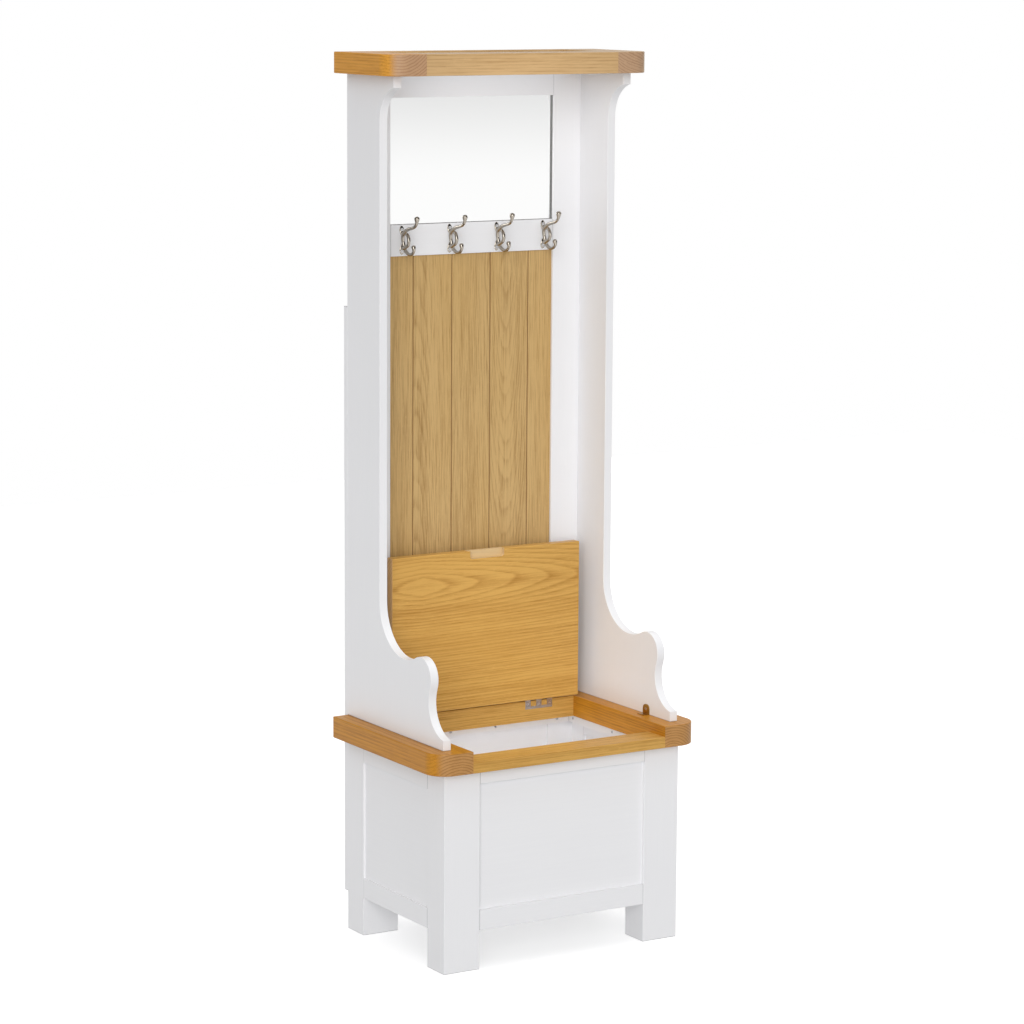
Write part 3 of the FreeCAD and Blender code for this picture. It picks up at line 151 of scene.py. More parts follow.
class Finish(Web):
    """A material with one principled shader, and the ways to fill it."""

    def __init__(self, name):
        self.material = bpy.data.materials.new(name)
        self.material.use_nodes = True
        super().__init__(self.material.node_tree)
        self.shader = self.tree.nodes["Principled BSDF"]

    def constants(self, metallic=0.0, specular=0.5, coat=0.0, coat_rough=0.03):
        """Set what is the same all over on the shader's own sockets."""
        self.shader.inputs["Metallic"].default_value = metallic
        self.shader.inputs["Specular IOR Level"].default_value = specular
        self.shader.inputs["Coat Weight"].default_value = coat
        self.shader.inputs["Coat Roughness"].default_value = coat_rough

    def drive(self, socket, value):
        self.join(self.shader.inputs[socket], value)

    def blend(self, factor, first, second):
        """A mix of two colours."""
        return self.node(
            "ShaderNodeMix",
            {"data_type": "RGBA", "blend_type": "MIX", "clamp_factor": True},
            {0: factor, 6: first, 7: second},
            out=2,
        )

    def place(self):
        """The three coordinates of a point on the piece, in millimetres."""
        where = self.node("ShaderNodeTexCoord", out=3)
        return [self.node("ShaderNodeSeparateXYZ", None, {0: where}, out=i) / MM for i in range(3)]

    def facing(self, axis):
        """How squarely the surface faces along an axis of the piece."""
        normal = self.node("ShaderNodeTexCoord", out=1)
        return abs(self.node("ShaderNodeSeparateXYZ", None, {0: normal}, out=axis))

    def noise(self, place, cell, detail=2.0, rough=0.5):
        """Noise from 0 to 1 whose cells measure this many millimetres along each axis."""
        parts = {i: value / size for i, (value, size) in enumerate(zip(place, cell))}
        at = self.node("ShaderNodeCombineXYZ", None, parts)
        sockets = {"Vector": at, "Scale": 1.0, "Detail": detail, "Roughness": rough}
        return self.node("ShaderNodeTexNoise", {"noise_dimensions": "3D"}, sockets)

    def step(self, reading, low, high):
        """0 below low, 1 above high and a smooth rise between."""
        return self.node(
            "ShaderNodeMapRange",
            {"interpolation_type": "SMOOTHSTEP"},
            {"Value": reading, "From Min": low, "From Max": high, "To Min": 0.0, "To Max": 1.0},
        )

    def within(self, place, low, high):
        """1 in the box between two corners given in metres, 0 outside it."""
        inside = 1.0
        for value, least, most in zip(place, low, high):
            inside = (value > least / MM) * inside * (1.0 - (value > most / MM))
        return inside

    def relief(self, height, depth, strength=1.0):
        """Bump the surface by a height reading from 0 to 1, depth millimetres high."""
        sockets = {"Strength": strength, "Distance": depth * MM, "Height": height}
        self.drive("Normal", self.node("ShaderNodeBump", None, sockets))


def dress(node_name, finish):
    """Give every material slot of a CAD piece the same finish."""
    for place in frame["nodes"][node_name].material_slots:
        place.material = finish.material


# ---------------------------------------------------------------- oak

# Each tone's pale and dark wood.
TONES = {
    "straw": (tint(0.63, 0.42, 0.215), tint(0.39, 0.235, 0.10)),
    "honey": (tint(0.645, 0.372, 0.096), tint(0.39, 0.185, 0.033)),
    "amber": (tint(0.58, 0.255, 0.022), tint(0.36, 0.138, 0.009)),
    "russet": (tint(0.70, 0.33, 0.05), tint(0.45, 0.19, 0.020)),
    "board": (tint(0.62, 0.415, 0.178), tint(0.345, 0.20, 0.068)),
}
# The same for the grain seen on the ends.
BROWN_END = (tint(0.52, 0.28, 0.105), tint(0.24, 0.105, 0.032))
ROSY_END = (tint(0.50, 0.32, 0.20), tint(0.29, 0.155, 0.09))
LIGHT_END = (tint(0.72, 0.47, 0.24), tint(0.52, 0.30, 0.13))
# Painted light: a paler colour for the inside of the finger pull, standing in for the light it
# catches.
PULL_PAINTED_LIGHT = tint(0.66, 0.50, 0.29)
# A tone's richer patches, as shares of its pale wood's red, green and blue.
RICHNESS = (0.90, 0.82, 0.62)

# Sizes of the figure's cells in millimetres: along the grain, across the face, through the wood.
DRIFT_CELL = (700.0, 85.0, 85.0)
WAVER_CELL = (130.0, 13.0, 13.0)
YEAR_CELL = (17.0, 17.0, 17.0)
BAND_CELL = (900.0, 26.0, 26.0)
STREAK_CELL = (110.0, 3.2, 3.2)
PORE_CELL = (42.0, 1.15, 1.15)
FLECK_CELL = (9.0, 2.6, 2.6)
WARMTH_CELL = (600.0, 140.0, 140.0)
# How far the rings stray from even circles, in millimetres.
DRIFT, WAVER, YEAR_SPREAD = 11.0, 2.4, 9.0
# A ring's dark edge: the share of a year in which it comes in, and how fast it fades after.
RING_RISE, RING_FADE = 0.22, 2.2
# Between which values of its reading each part of the figure comes in.
PORE_REACH, FLECK_REACH, WARM_REACH = (0.50, 0.66), (0.66, 0.76), (0.35, 0.75)
END_REACH, END_RING_REACH = (0.55, 0.9), (0.45, 0.95)
# How dark the face starts, how much the broad bands and the pores darken it, and how much the
# flecks lighten it.
DARK_START, BAND_WEIGHT, PORE_WEIGHT, FLECK_WEIGHT = 0.10, 1.2, 0.5, 0.16
# How far the richer patches, the end grain, the painted light in the finger pull and the groove
# cover what is under them.
WARM_COVER, END_COVER, PULL_LIGHT_COVER, GROOVE_COVER = 0.3, 0.85, 0.75, 0.85
# Each piece reads the figure at a place of its own, worked out from where its middle is.
SEED_SHARES, SEED_SPAN = (0.37, 0.61, 0.23), 97.0
SEED_ALONG, SEED_ACROSS = 40.0, 7.0

# The least and most roughness of a face, and what the end grain adds; pores' depth in millimetres.
OAK_ROUGH, END_ROUGHER = (0.34, 0.50), 0.08
OAK_RELIEF = 0.12

# The dark line where two tongued boards meet, in millimetres: how far in from a board's edge it
# starts, and over what length it comes in.
GROOVE_INNER, GROOVE_FADE = 1.5, 0.6
GROOVE_TONE = tint(0.20, 0.105, 0.035)

# The lid's finger pull in metres, whose inside is painted paler as painted light: half its width,
# its depth down from the edge, the thin skins of the front and back faces that keep their own
# tone, and a little play past the edge.
PULL_HALF, PULL_HIGH = 0.046, 0.026
PULL_FRONT_SKIN, PULL_BACK_SKIN, PULL_PLAY = 0.0015, 0.001, 0.001


def oak(
    piece, axes, heart, tone, ring=3.4, lean=0.0, peak=0.0, joint=None, shift=(0.0, 0.0),
    end_tone=BROWN_END, line=0.55, fibre=2.3, grooves=False, lit_pull=None,
):
    """Lacquered oak cut from a log: rings round a heart line, pores drawn out along the grain.

    axes are the piece's own axes along the grain, across the face and through the thickness.
    heart is where the log's centre runs, in millimetres across and through from the middle.
    ring is a year's growth in millimetres.
    lean tips the heart away on both sides of peak, which draws arches on the face.
    joint is a local axis and a place on it where a second stave starts, its heart moved by shift.
    line and fibre are how strongly the rings and the long streaks between them show.
    grooves darkens the chamfered edges where boards meet.
    The last argument is the low and high corner, in metres, of the finger pull, whose inside is
    painted paler than the face as painted light.
    """
    finish = Finish("oak " + piece.replace("_", " "))
    low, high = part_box(piece)
    middle = (Vector(low) + Vector(high)) / (2 * MM)
    place = finish.place()
    log = [place[axis] - middle[axis] for axis in axes]
    along, across, through = log
    side, depth = across - heart[0], through - heart[1]
    if joint:
        beyond = log[joint[0]] > joint[1]
        side = side - beyond * shift[0]
        depth = depth - beyond * shift[1]
    if lean:
        depth = depth + abs(along - peak) * lean

    seed = sum(centre * share for centre, share in zip(middle, SEED_SHARES)) % SEED_SPAN
    grown = (along + seed * SEED_ALONG, across + seed * SEED_ACROSS, through)
    drift = finish.noise(grown, DRIFT_CELL, detail=1.5) * DRIFT
    waver = finish.noise(grown, WAVER_CELL, detail=2.5) * WAVER
    radius = (side * side + depth * depth).root() + drift + waver
    years = finish.noise((radius, radius, radius), YEAR_CELL, detail=1.0) * YEAR_SPREAD
    turn = ((radius + years) / ring).part()
    early = (1.0 - turn) ** RING_FADE * finish.step(turn, 0.0, RING_RISE)

    bands = finish.noise(grown, BAND_CELL, detail=2.5, rough=0.6)
    streaks = finish.noise(grown, STREAK_CELL, detail=3.0, rough=0.7)
    pores = finish.noise(grown, PORE_CELL, detail=2.0, rough=0.7)
    pore = finish.step(pores, *PORE_REACH) * (0.4 + early * 0.6)
    flecks = finish.step(finish.noise(grown, FLECK_CELL, detail=0.0), *FLECK_REACH)
    darkness = early * line + (bands - 0.5) * BAND_WEIGHT + (streaks - 0.5) * fibre
    darkness = darkness + pore * PORE_WEIGHT + DARK_START - flecks * FLECK_WEIGHT
    light, dark = TONES[tone]
    face = finish.blend(darkness, light, dark)
    warm = finish.noise(grown, WARMTH_CELL, detail=1.0)
    rich = tint(*(level * share for level, share in zip(light, RICHNESS)))
    face = finish.blend(finish.step(warm, *WARM_REACH) * WARM_COVER, face, rich)

    end = finish.step(finish.facing(axes[0]), *END_REACH)
    end_rings = finish.step(turn, *END_RING_REACH)
    end_darkness = end_rings * 0.75 + (bands - 0.4) * 0.5 + pore * 0.3
    colour = finish.blend(end * END_COVER, face, finish.blend(end_darkness, *end_tone))
    if lit_pull:
        # Painted light: the finger pull's inside is coloured paler for the light it catches.
        colour = finish.blend(finish.within(place, *lit_pull) * PULL_LIGHT_COVER, colour, PULL_PAINTED_LIGHT)
    if grooves:
        starts = (high[axes[1]] - low[axes[1]]) / (2 * MM) - GROOVE_INNER
        near_edge = finish.step(abs(across), starts, starts + GROOVE_FADE)
        colour = finish.blend(near_edge * GROOVE_COVER, colour, GROOVE_TONE)

    finish.drive("Base Color", colour)
    roughness = (early * 0.5 + pore * 0.5).between(*OAK_ROUGH) + end * END_ROUGHER
    finish.drive("Roughness", roughness)
    finish.constants(specular=0.20, coat=0.04, coat_rough=0.25)
    finish.relief(1.0 - pore * 0.8 - early * 0.25, OAK_RELIEF, strength=0.55)
    dress(piece, finish)


def dress_lid():
    """The lid: arches and an oval on one wide board, and painted light in its finger pull."""
    low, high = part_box("lid")
    pull = (
        (-PULL_HALF, low[Y] + PULL_FRONT_SKIN, high[Z] - PULL_HIGH),
        (PULL_HALF, high[Y] - PULL_BACK_SKIN, high[Z] + PULL_PLAY),
    )
    oak(
        "lid", (X, Z, Y), (105.0, -40.0), "honey", ring=6.5, lean=0.085, peak=-162.0,
        end_tone=LIGHT_END, line=0.8, fibre=1.2, lit_pull=pull,
    )


def dress_rails():
    """The rails of the seat and the cornice, each from its own log."""
    wide, deep = (X, Z, Y), (Y, X, Z)
    oak("seat_rail_left", deep, (10.0, -60.0), "amber", ring=6.0, line=0.8)
    oak("seat_rail_right", deep, (-25.0, -52.0), "amber", ring=6.0, line=0.8)
    oak(
        "seat_rail_front", wide, (90.0, 30.0), "honey", ring=5.0,
        joint=(0, 70.0), shift=(-180.0, 20.0), line=0.7,
    )
    oak("seat_rail_rear", wide, (-80.0, 40.0), "honey", ring=4.0)
    oak(
        "cornice_rail_left", deep, (-20.0, 70.0), "russet", ring=6.0,
        end_tone=ROSY_END, line=0.8,
    )
    oak(
        "cornice_rail_right", deep, (30.0, 95.0), "straw", ring=5.5,
        joint=(2, 2.0), shift=(60.0, 160.0), end_tone=ROSY_END, line=0.8,
    )
    oak("cornice_rail_front", wide, (130.0, 50.0), "straw", ring=6.0, line=0.85)
    oak("cornice_rail_rear", wide, (-120.0, 60.0), "straw")


# Each back board from left to right: where its heart runs, its lean and the peak of its arches.
BACK_BOARDS = (
    ((60.0, -70.0), 0.02, -300.0),
    ((-44.0, -52.0), 0.04, -520.0),
    ((58.0, -64.0), 0.03, 430.0),
    ((-12.0, -46.0), 0.06, 420.0),
    ((-70.0, -60.0), 0.02, 300.0),
)


def dress_boards():
    """The tongued boards of the back, with a dark line at each joint."""
    for number, (heart, lean, peak) in enumerate(BACK_BOARDS, start=1):
        oak(
            f"back_board_{number}", (Z, X, Y), heart, "board", ring=3.2,
            lean=lean, peak=peak, grooves=True,
        )


# ---------------------------------------------------------------- paint, glass and metal

PAINT = tint(0.87, 0.87, 0.885)
PAINT_DARKER = tint(PAINT[0] * 0.955, PAINT[1] * 0.955, PAINT[2] * 0.96)
# The least and most roughness, and the depth of the peel and grain in millimetres.
PAINT_ROUGH = (0.36, 0.46)
PAINT_RELIEF = 0.06
# Sizes in millimetres of the orange peel, the wood's grain across and along, and the clouds.
PEEL, GRAIN_ACROSS, GRAIN_ALONG, PAINT_CLOUD = 1.7, 3.2, 150.0, 260.0
# Where the paint has cracked along the joints, in millimetres: how far in from a piece's ends the
# grey starts, over what length it comes in, and how far it covers the paint.
SEAM_WIDE, SEAM_FADE, SEAM_COVER = 1.6, 0.4, 0.8
SEAM_TONE = tint(0.46, 0.46, 0.47)
# The sight edge round the mirror, painted dark as painted shade for the rebate's shadowed faces,
# in metres:
# how far it comes forward of the glass, and a little play so that it takes in the faces of the
# pieces round it.
REBATE_SHOWN, REBATE_PLAY = 0.0052, 0.0005
# Near-black painted shade for the rebate's faces, which lie in shadow round the mirror.
REBATE_PAINTED_SHADE = tint(0.035, 0.034, 0.03)


def paint(piece, shaded_rebate=None):
    """Sprayed satin paint: a fine orange peel over a hint of the wood's grain.

    The piece's ends are a shade greyer where the paint has cracked along the joints.
    The box for the rebate is the low and high corner, in metres, of the sight edge round the
    mirror, painted dark as painted shade.
    """
    low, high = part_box(piece)
    spans = [high[i] - low[i] for i in range(3)]
    along = spans.index(max(spans))
    finish = Finish("white paint " + piece.replace("_", " "))
    place = finish.place()
    peel = finish.noise(place, (PEEL,) * 3, detail=2.0)
    grain_cell = [GRAIN_ACROSS] * 3
    grain_cell[along] = GRAIN_ALONG
    grain = finish.noise(place, grain_cell, detail=2.0, rough=0.6)
    cloud = finish.noise(place, (PAINT_CLOUD,) * 3, detail=1.0)
    colour = finish.blend(cloud * 0.7 + (grain - 0.5) * 0.7, PAINT, PAINT_DARKER)
    from_middle = abs(place[along] - (low[along] + high[along]) / (2 * MM))
    starts = spans[along] / (2 * MM) - SEAM_WIDE
    seam = finish.step(from_middle, starts, starts + SEAM_FADE)
    colour = finish.blend(seam * SEAM_COVER, colour, SEAM_TONE)
    if shaded_rebate:
        # Painted shade: the rebate's faces round the mirror are coloured near black.
        colour = finish.blend(finish.within(place, *shaded_rebate), colour, REBATE_PAINTED_SHADE)
    finish.drive("Base Color", colour)
    finish.drive("Roughness", (peel * 0.6 + grain * 0.4).between(*PAINT_ROUGH))
    finish.constants(specular=0.45, coat=0.12, coat_rough=0.35)
    finish.relief(peel * 0.35 + grain * 0.65, PAINT_RELIEF, strength=0.5)
    dress(piece, finish)


def dress_paint():
    """White paint on the joinery, with painted shade on the sight edge of the pieces round the
    mirror.
    """
    glass_low, glass_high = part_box("mirror_glass")
    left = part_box("back_stile_left")[1][X] - REBATE_PLAY
    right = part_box("back_stile_right")[0][X] + REBATE_PLAY
    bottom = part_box("hook_rail")[1][Z] - REBATE_PLAY
    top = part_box("back_top_rail")[0][Z] + REBATE_PLAY
    rebate_shade = ((left, glass_low[Y] - REBATE_SHOWN, bottom), (right, glass_high[Y], top))
    round_mirror = ("back_stile_left", "back_stile_right", "back_top_rail", "hook_rail")
    for part in frame["record"]["subparts"]:
        if part["material_slot"] == "white_paint":
            paint(part["node"], shaded_rebate=rebate_shade if part["node"] in round_mirror else None)


# In millimetres, the cells of the mirror's haze and of the fibres in its backing.
HAZE_CELL, FIBRE_CELL = (140.0, 140.0, 140.0), (3.0, 3.0, 1.0)
MIRROR_ROUGH, BACKING_ROUGH = (0.03, 0.05), (0.7, 0.9)
BACKING_RELIEF = 0.15


def dress_mirror():
    """Silver behind clear glass, with the faintest unevenness."""
    finish = Finish("silvered mirror glass")
    haze = finish.noise(finish.place(), HAZE_CELL, detail=1.0)
    silver = finish.blend(haze, tint(0.975, 0.98, 0.975), tint(0.985, 0.985, 0.98))
    finish.drive("Base Color", silver)
    finish.drive("Roughness", haze.between(*MIRROR_ROUGH))
    finish.constants(metallic=1.0, coat=0.3, coat_rough=0.01)
    dress("mirror_glass", finish)


def dress_backing():
    """Brown fibreboard behind the mirror."""
    finish = Finish("fibreboard")
    fibres = finish.noise(finish.place(), FIBRE_CELL, detail=3.0, rough=0.7)
    brown = finish.blend(fibres, tint(0.30, 0.19, 0.10), tint(0.17, 0.10, 0.05))
    finish.drive("Base Color", brown)
    finish.drive("Roughness", fibres.between(*BACKING_ROUGH))
    finish.relief(fibres, BACKING_RELIEF)
    dress("mirror_backing", finish)


# Each metal's pale and dark tone, its least and most roughness, and the width of the clouds in its
# polish in millimetres.
METALS = {
    "zinc plate": (tint(0.66, 0.66, 0.67), tint(0.50, 0.50, 0.52), 0.22, 0.42, 9.0),
    "bright zinc": (tint(0.72, 0.72, 0.73), tint(0.56, 0.56, 0.58), 0.16, 0.34, 3.0),
    "bronze": (tint(0.56, 0.36, 0.10), tint(0.33, 0.19, 0.05), 0.24, 0.42, 5.0),
    "satin nickel": (tint(0.46, 0.42, 0.365), tint(0.29, 0.255, 0.21), 0.06, 0.13, 7.0),
}
# The finest marks of the polish, and how deep they and the clouds go, in millimetres.
POLISH_CELL, METAL_RELIEF = 0.5, 0.03


def metal(name):
    """Plated or cast metal with a slightly clouded polish."""
    light, dark, smooth, rough, cell = METALS[name]
    finish = Finish(name)
    place = finish.place()
    cloud = finish.noise(place, (cell,) * 3, detail=3.0, rough=0.6)
    fine = finish.noise(place, (POLISH_CELL,) * 3, detail=1.0)
    finish.drive("Base Color", finish.blend(cloud, light, dark))
    finish.drive("Roughness", (cloud * 0.6 + fine * 0.4).between(smooth, rough))
    finish.constants(metallic=1.0)
    finish.relief(cloud * 0.7 + fine * 0.3, METAL_RELIEF, strength=0.4)
    return finish


def dress_fittings():
    """Zinc on the hinges and screws, bronze on the corner brackets."""
    zinc, screw, bronze = metal("zinc plate"), metal("bright zinc"), metal("bronze")
    for side in ("left", "right"):
        dress(f"hinge_rail_leaf_{side}", zinc)
        dress(f"hinge_lid_leaf_{side}", zinc)
        dress(f"corner_bracket_{side}", bronze)
    dress("hinge_pins", zinc)
    for name in ("fitting_screws", "frame_screws", "hinge_lid_screws"):
        dress(name, screw)


# ---------------------------------------------------------------- coat hooks

# A hook's strands in millimetres: to the side, out from the wall, rise and half thickness.
ARM_STRAND = (
    (0.0, 66.3, 54.0, 0.4),
    (0.0, 66.4, 52.6, 3.4),
    (0.0, 66.3, 49.6, 5.2),
    (0.0, 65.8, 45.6, 4.6),
    (0.0, 65.0, 41.0, 3.3),
    (0.0, 62.0, 35.4, 2.8),
    (0.0, 55.0, 30.4, 2.9),
    (-0.2, 44.0, 27.2, 3.1),
    (-0.5, 32.0, 24.6, 3.4),
    (-1.2, 22.0, 20.6, 3.6),
    (-1.9, 13.0, 14.6, 3.7),
    (-1.2, 7.6, 7.4, 3.3),
    (0.0, 6.0, 0.0, 3.2),
    (1.2, 6.6, -8.0, 3.3),
    (1.9, 9.6, -17.0, 3.7),
    (1.0, 18.0, -24.2, 3.5),
    (0.2, 32.0, -28.9, 3.2),
    (0.0, 45.0, -27.2, 3.0),
    (0.0, 52.4, -21.0, 2.8),
    (0.0, 53.0, -16.4, 3.6),
    (0.0, 51.6, -12.4, 4.5),
    (0.0, 50.2, -9.6, 3.4),
    (0.0, 49.6, -8.4, 0.4),
)
EYE_STRAND = (
    (0.0, 1.0, 17.2, 1.4),
    (0.8, 5.0, 16.6, 2.8),
    (1.9, 12.6, 14.6, 3.5),
    (1.4, 21.0, 12.6, 3.2),
    (0.3, 28.4, 8.6, 3.2),
    (0.0, 31.6, 0.0, 3.4),
    (-0.3, 29.0, -9.0, 3.2),
    (-1.4, 21.0, -14.4, 3.2),
    (-1.9, 11.0, -17.6, 3.4),
    (-0.8, 4.6, -18.0, 2.8),
    (0.0, 1.0, -18.0, 1.4),
)
# The two leaf-shaped plates: rise and half width from one point to the other.
TOP_LEAF = (
    (30.6, 0.5),
    (28.6, 3.0),
    (25.0, 5.2),
    (20.5, 5.9),
    (16.0, 4.8),
    (11.5, 2.6),
    (8.5, 0.5),
)
FOOT_LEAF = (
    (-9.0, 0.5),
    (-12.5, 2.4),
    (-17.5, 4.6),
    (-22.5, 5.8),
    (-27.0, 5.0),
    (-30.6, 2.8),
    (-32.0, 0.5),
)
# A leaf's thickness in millimetres, and the share of it that is left at the leaf's points.
LEAF_THICK, LEAF_RIM_SHARE = 2.3, 0.45
# The least half width of any section, in millimetres, and how much fuller a strand is cast.
LEAST_HALF, STRAND_FULLNESS = 0.3, 1.12
# How finely a strand is drawn: steps from one station to the next, and sides to a section.
STEPS_PER_STATION = 6
HOOK_SIDES = 20
HOOK_TURNS = [2 * math.pi * k / HOOK_SIDES for k in range(HOOK_SIDES)]
# The casting's grid in millimetres, and how far and how often it is smoothed.
HOOK_VOXEL = 0.55
POLISH_FACTOR, POLISH_ROUNDS = 0.5, 6
HOOK_COUNT = 4
# How far the top of the coat hook stands above its middle, in millimetres.
HOOK_TOP = 54.2


def smooth_run(stations):
    """Points on a smooth curve through all the stations, ends included."""
    points = [stations[0] * 2 - stations[1], *stations, stations[-1] * 2 - stations[-2]]
    run = []
    for before, start, end, after in zip(points, points[1:], points[2:], points[3:]):
        for step in range(STEPS_PER_STATION):
            t = step / STEPS_PER_STATION
            bend = (2 * before - 5 * start + 4 * end - after) * t * t
            twist = (3 * start - before - 3 * end + after) * t * t * t
            run.append((2 * start + (end - before) * t + bend + twist) / 2)
    run.append(points[-2])
    return run


def add_tube(mesh, rings):
    """Skin a row of rings of points and close both ends."""
    rows = [[mesh.verts.new(point) for point in ring] for ring in rings]
    count = len(rows[0])
    for row, following in zip(rows, rows[1:]):
        for i in range(count):
            j = (i + 1) % count
            mesh.faces.new((row[i], row[j], following[j], following[i]))
    mesh.faces.new(reversed(rows[0]))
    mesh.faces.new(rows[-1])


def strand_rings(stations):
    """Round sections square to a strand's run."""
    run = smooth_run(stations)
    centres = [Vector((side, -out, rise)) for side, out, rise, _ in run]
    rings = []
    for i, centre in enumerate(centres):
        way = centres[min(i + 1, len(centres) - 1)] - centres[max(i - 1, 0)]
        across = Vector((1.0, 0.0, 0.0))
        up = way.cross(across).normalized()
        across = up.cross(way).normalized()
        thick = max(run[i][3], LEAST_HALF) * STRAND_FULLNESS
        rings.append(
            [centre + (across * math.cos(a) + up * math.sin(a)) * thick for a in HOOK_TURNS]
        )
    return rings


def leaf_rings(stations):
    """Flat oval sections of a leaf plate, thickest in the middle."""
    widest = max(half for _, half in stations)
    rings = []
    for rise, half in smooth_run(stations):
        half = max(half, LEAST_HALF)
        fullness = LEAF_RIM_SHARE + (1.0 - LEAF_RIM_SHARE) * min(1.0, half / widest)
        thick = LEAF_THICK * fullness
        ring = []
        for a in HOOK_TURNS:
            out = thick * (0.5 + 0.5 * math.sin(a))
            ring.append(Vector((half * math.cos(a), -out, rise)))
        rings.append(ring)
    return rings


def hook_mesh():
    """One cast hook: both strands and both leaves melted into a single skin."""
    mesh = bmesh.new()
    for sections, stations in (
        (strand_rings, ARM_STRAND),
        (strand_rings, EYE_STRAND),
        (leaf_rings, TOP_LEAF),
        (leaf_rings, FOOT_LEAF),
    ):
        add_tube(mesh, sections([Vector(station) for station in stations]))
    bmesh.ops.recalc_face_normals(mesh, faces=mesh.faces)
    bmesh.ops.scale(mesh, vec=Vector((MM, MM, MM)), verts=mesh.verts)
    rough = bpy.data.meshes.new("hook_casting_rough")
    mesh.to_mesh(rough)
    mesh.free()
    pattern = stand("hook_pattern", rough)
    melt = pattern.modifiers.new("melt", "REMESH")
    melt.mode = "VOXEL"
    melt.voxel_size = HOOK_VOXEL * MM
    melt.use_smooth_shade = True
    polish = pattern.modifiers.new("polish", "SMOOTH")
    polish.factor = POLISH_FACTOR
    polish.iterations = POLISH_ROUNDS
    ready = pattern.evaluated_get(bpy.context.evaluated_depsgraph_get())
    cast = bpy.data.meshes.new_from_object(ready)
    cast.name = "coat_hook_casting"
    bpy.data.objects.remove(pattern)
    return cast


def hang_hooks():
    """Set a nickel casting on each coat hook's place on the rail."""
    cast = hook_mesh()
    cast.materials.append(metal("satin nickel").material)
    for number in range(1, HOOK_COUNT + 1):
        node = f"coat_hook_{number}"
        low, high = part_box(node)
        hook = stand(f"hook_casting_{number}", cast)
        hook.visible_glossy = False  # keeps the mirror above the rail plain
        hook.location = ((low[X] + high[X]) / 2, high[Y], high[Z] - HOOK_TOP * MM)
        bpy.context.view_layer.update()
        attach(hook, "frame")
        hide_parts(node)


# ---------------------------------------------------------------- room, light and camera

# The floor's half width in metres, its squares to a side, the size in millimetres of the clouds in
# its tone, and how brightly it glows by itself.
FLOOR_HALF = 6.0
FLOOR_TILES = 24
FLOOR_CELL = (400.0, 400.0, 400.0)
FLOOR_ROUGH = (0.7, 0.8)
FLOOR_GLOW = 0.40

# Brightness by height, from straight down (0) over the horizon (0.5) to straight up (1): what
# lights the piece, what its gloss mirrors, and what is seen behind it.
LIGHT_BANDS = ((0.0, 0.36), (0.46, 0.50), (0.56, 0.46), (0.72, 0.42), (0.86, 0.65), (1.0, 1.2))
GLOSS_BANDS = ((0.0, 0.92), (0.47, 1.0), (0.52, 0.04), (0.76, 0.03), (0.86, 0.95), (1.0, 0.6))
SEEN_BANDS = ((0.0, 1.0), (1.0, 1.0))

# Where the camera stands in metres, how it is turned in degrees, and its lens in millimetres.
CAMERA_PLACE = (-3.86224, -6.29739, 2.11308)
CAMERA_HEADING = -31.4627
CAMERA_PITCH = 9.0986
CAMERA_ROLL = 0.3532
CAMERA_LENS = 122.88
SENSOR_WIDTH = 36.0


def floor():
    """A plain pale studio floor, slightly uneven in tone."""
    mesh = bmesh.new()
    bmesh.ops.create_grid(mesh, x_segments=FLOOR_TILES, y_segments=FLOOR_TILES, size=FLOOR_HALF)
    data = bpy.data.meshes.new("studio_floor")
    mesh.to_mesh(data)
    mesh.free()
    ground = stand("studio_floor", data)
    finish = Finish("pale floor")
    cloud = finish.noise(finish.place(), FLOOR_CELL, detail=2.0)
    finish.drive("Base Color", finish.blend(cloud, tint(0.93, 0.93, 0.93), tint(0.91, 0.91, 0.91)))
    finish.drive("Roughness", cloud.between(*FLOOR_ROUGH))
    finish.constants(specular=0.1)
    finish.shader.inputs["Emission Color"].default_value = tint(1.0, 1.0, 1.0)
    finish.shader.inputs["Emission Strength"].default_value = FLOOR_GLOW
    data.materials.append(finish.material)
    ground.visible_diffuse = False


def sky_bands(sky, rise, bands):
    """A shell of light as bright at each height as its bands say."""
    stops = [(place, tint(level, level, level)) for place, level in bands]
    ramp = sky.node("ShaderNodeValToRGB", {"stops": stops}, {0: rise})
    return sky.node("ShaderNodeBackground", None, {"Color": ramp})


def studio_sky():
    """White behind the piece, a soft gradient for what it lights, and a banded one for gloss."""
    world = bpy.data.worlds.new("studio")
    bpy.context.scene.world = world
    world.use_nodes = True
    sky = Web(world.node_tree)
    where = sky.node("ShaderNodeTexCoord", out="Generated")
    height = sky.node("ShaderNodeSeparateXYZ", None, {0: where}, out=Z)
    rise = sky.node("ShaderNodeMapRange", None, {"Value": height, "From Min": -1.0})
    shell = sky_bands(sky, rise, LIGHT_BANDS)
    for kind, bands in (("Is Glossy Ray", GLOSS_BANDS), ("Is Camera Ray", SEEN_BANDS)):
        ray = sky.node("ShaderNodeLightPath", out=kind)
        seen = sky_bands(sky, rise, bands)
        shell = sky.node("ShaderNodeMixShader", None, {0: ray, 1: shell, 2: seen})
    sky.join(sky.tree.nodes["World Output"].inputs[0], shell)


def point(lamp, direction):
    """Turn a lamp so that it shines along a vector."""
    lamp.rotation_euler = direction.to_track_quat("-Z", "Y").to_euler()


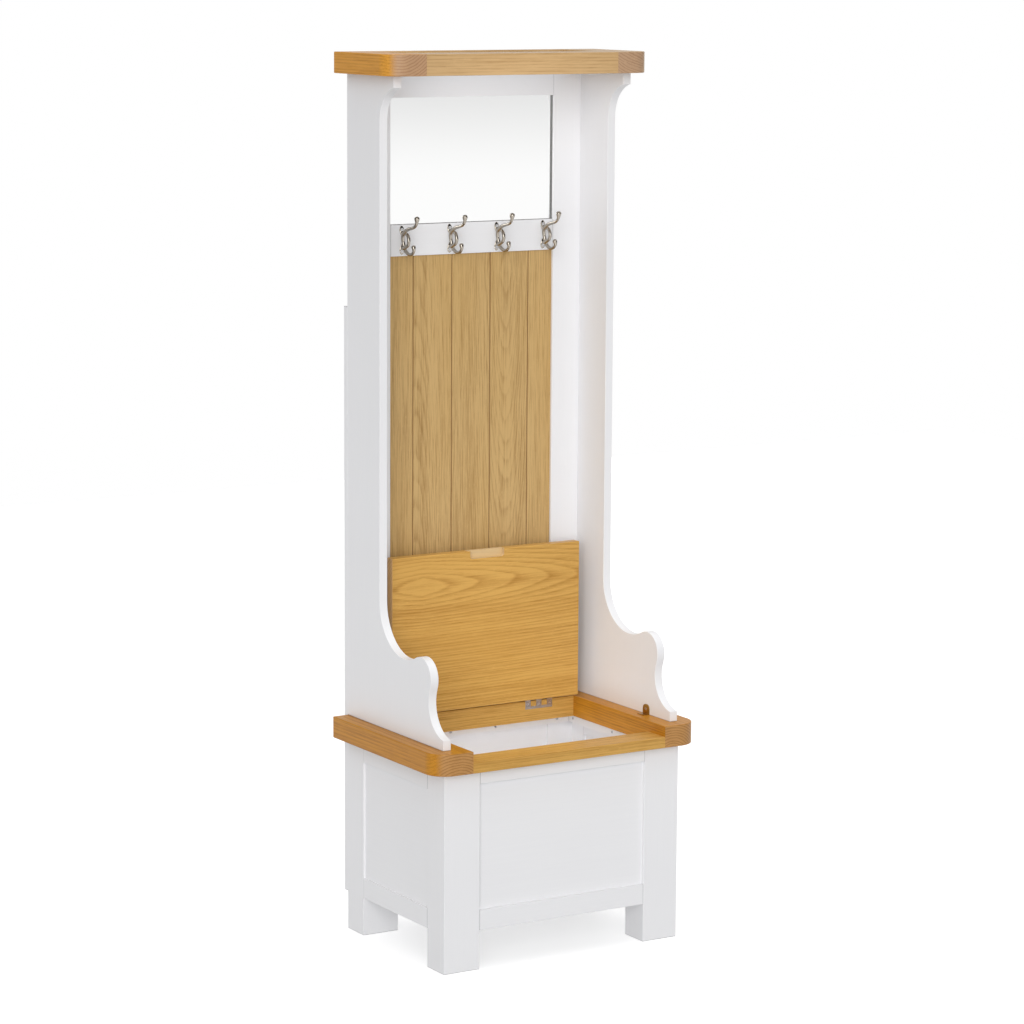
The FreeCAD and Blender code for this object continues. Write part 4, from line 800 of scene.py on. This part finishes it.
def far_softbox(name, source, power, spread):
    """A broad, even light from one side; source points at it, spread is in degrees."""
    data = bpy.data.lights.new(name, "SUN")
    data.energy = power
    data.angle = math.radians(spread)
    point(stand(name, data), -Vector(source))


def soft_lamp(name, place, aim, power, size, spread):
    """A round lamp with a narrow beam; lengths in metres, spread in degrees."""
    data = bpy.data.lights.new(name, "AREA")
    data.shape = "DISK"
    data.size = size
    data.spread = math.radians(spread)
    data.energy = power
    made = stand(name, data)
    made.location = place
    point(made, Vector(aim) - Vector(place))


def inside_lamp(name, place, power, size):
    """A round lamp that shines every way, for the inside of the open chest."""
    data = bpy.data.lights.new(name, "POINT")
    data.energy = power
    data.shadow_soft_size = size
    made = stand(name, data)
    made.visible_camera = False
    made.visible_glossy = False
    made.location = place


def camera():
    """A long lens at standing height, in front and to the left."""
    heading, pitch, roll = map(math.radians, (CAMERA_HEADING, CAMERA_PITCH, CAMERA_ROLL))
    data = bpy.data.cameras.new("camera")
    data.sensor_width = SENSOR_WIDTH
    data.lens = CAMERA_LENS
    made = stand("camera", data)
    turn = Matrix.Rotation(heading, 4, "Z") @ Matrix.Rotation(math.pi / 2 - pitch, 4, "X")
    turn = turn @ Matrix.Rotation(roll, 4, "Z")
    made.matrix_world = Matrix.Translation(CAMERA_PLACE) @ turn
    bpy.context.scene.camera = made


# ---------------------------------------------------------------- all together

dress_lid()
dress_rails()
dress_boards()
dress_paint()
dress_mirror()
dress_backing()
dress_fittings()
hang_hooks()
floor()
studio_sky()
far_softbox("front softbox", source=(-0.559, -0.829, 0.24), power=1.68, spread=42.0)
far_softbox("back softbox", source=(0.62, 0.74, 0.26), power=0.75, spread=70.0)
soft_lamp(
    "seat lamp", place=(-0.05, -0.25, 1.72), aim=(0.0, -0.03, 0.45),
    power=0.3, size=0.25, spread=40.0,
)
inside_lamp("chest lamp", place=(0.0, 0.02, 0.24), power=0.5, size=0.12)
soft_lamp(
    "rail lamp", place=(-0.10, -1.30, 1.25), aim=(0.0, 0.13, 1.80),
    power=0.12, size=0.3, spread=24.0,
)
camera()
bpy.context.scene.view_settings.view_transform = "Standard"
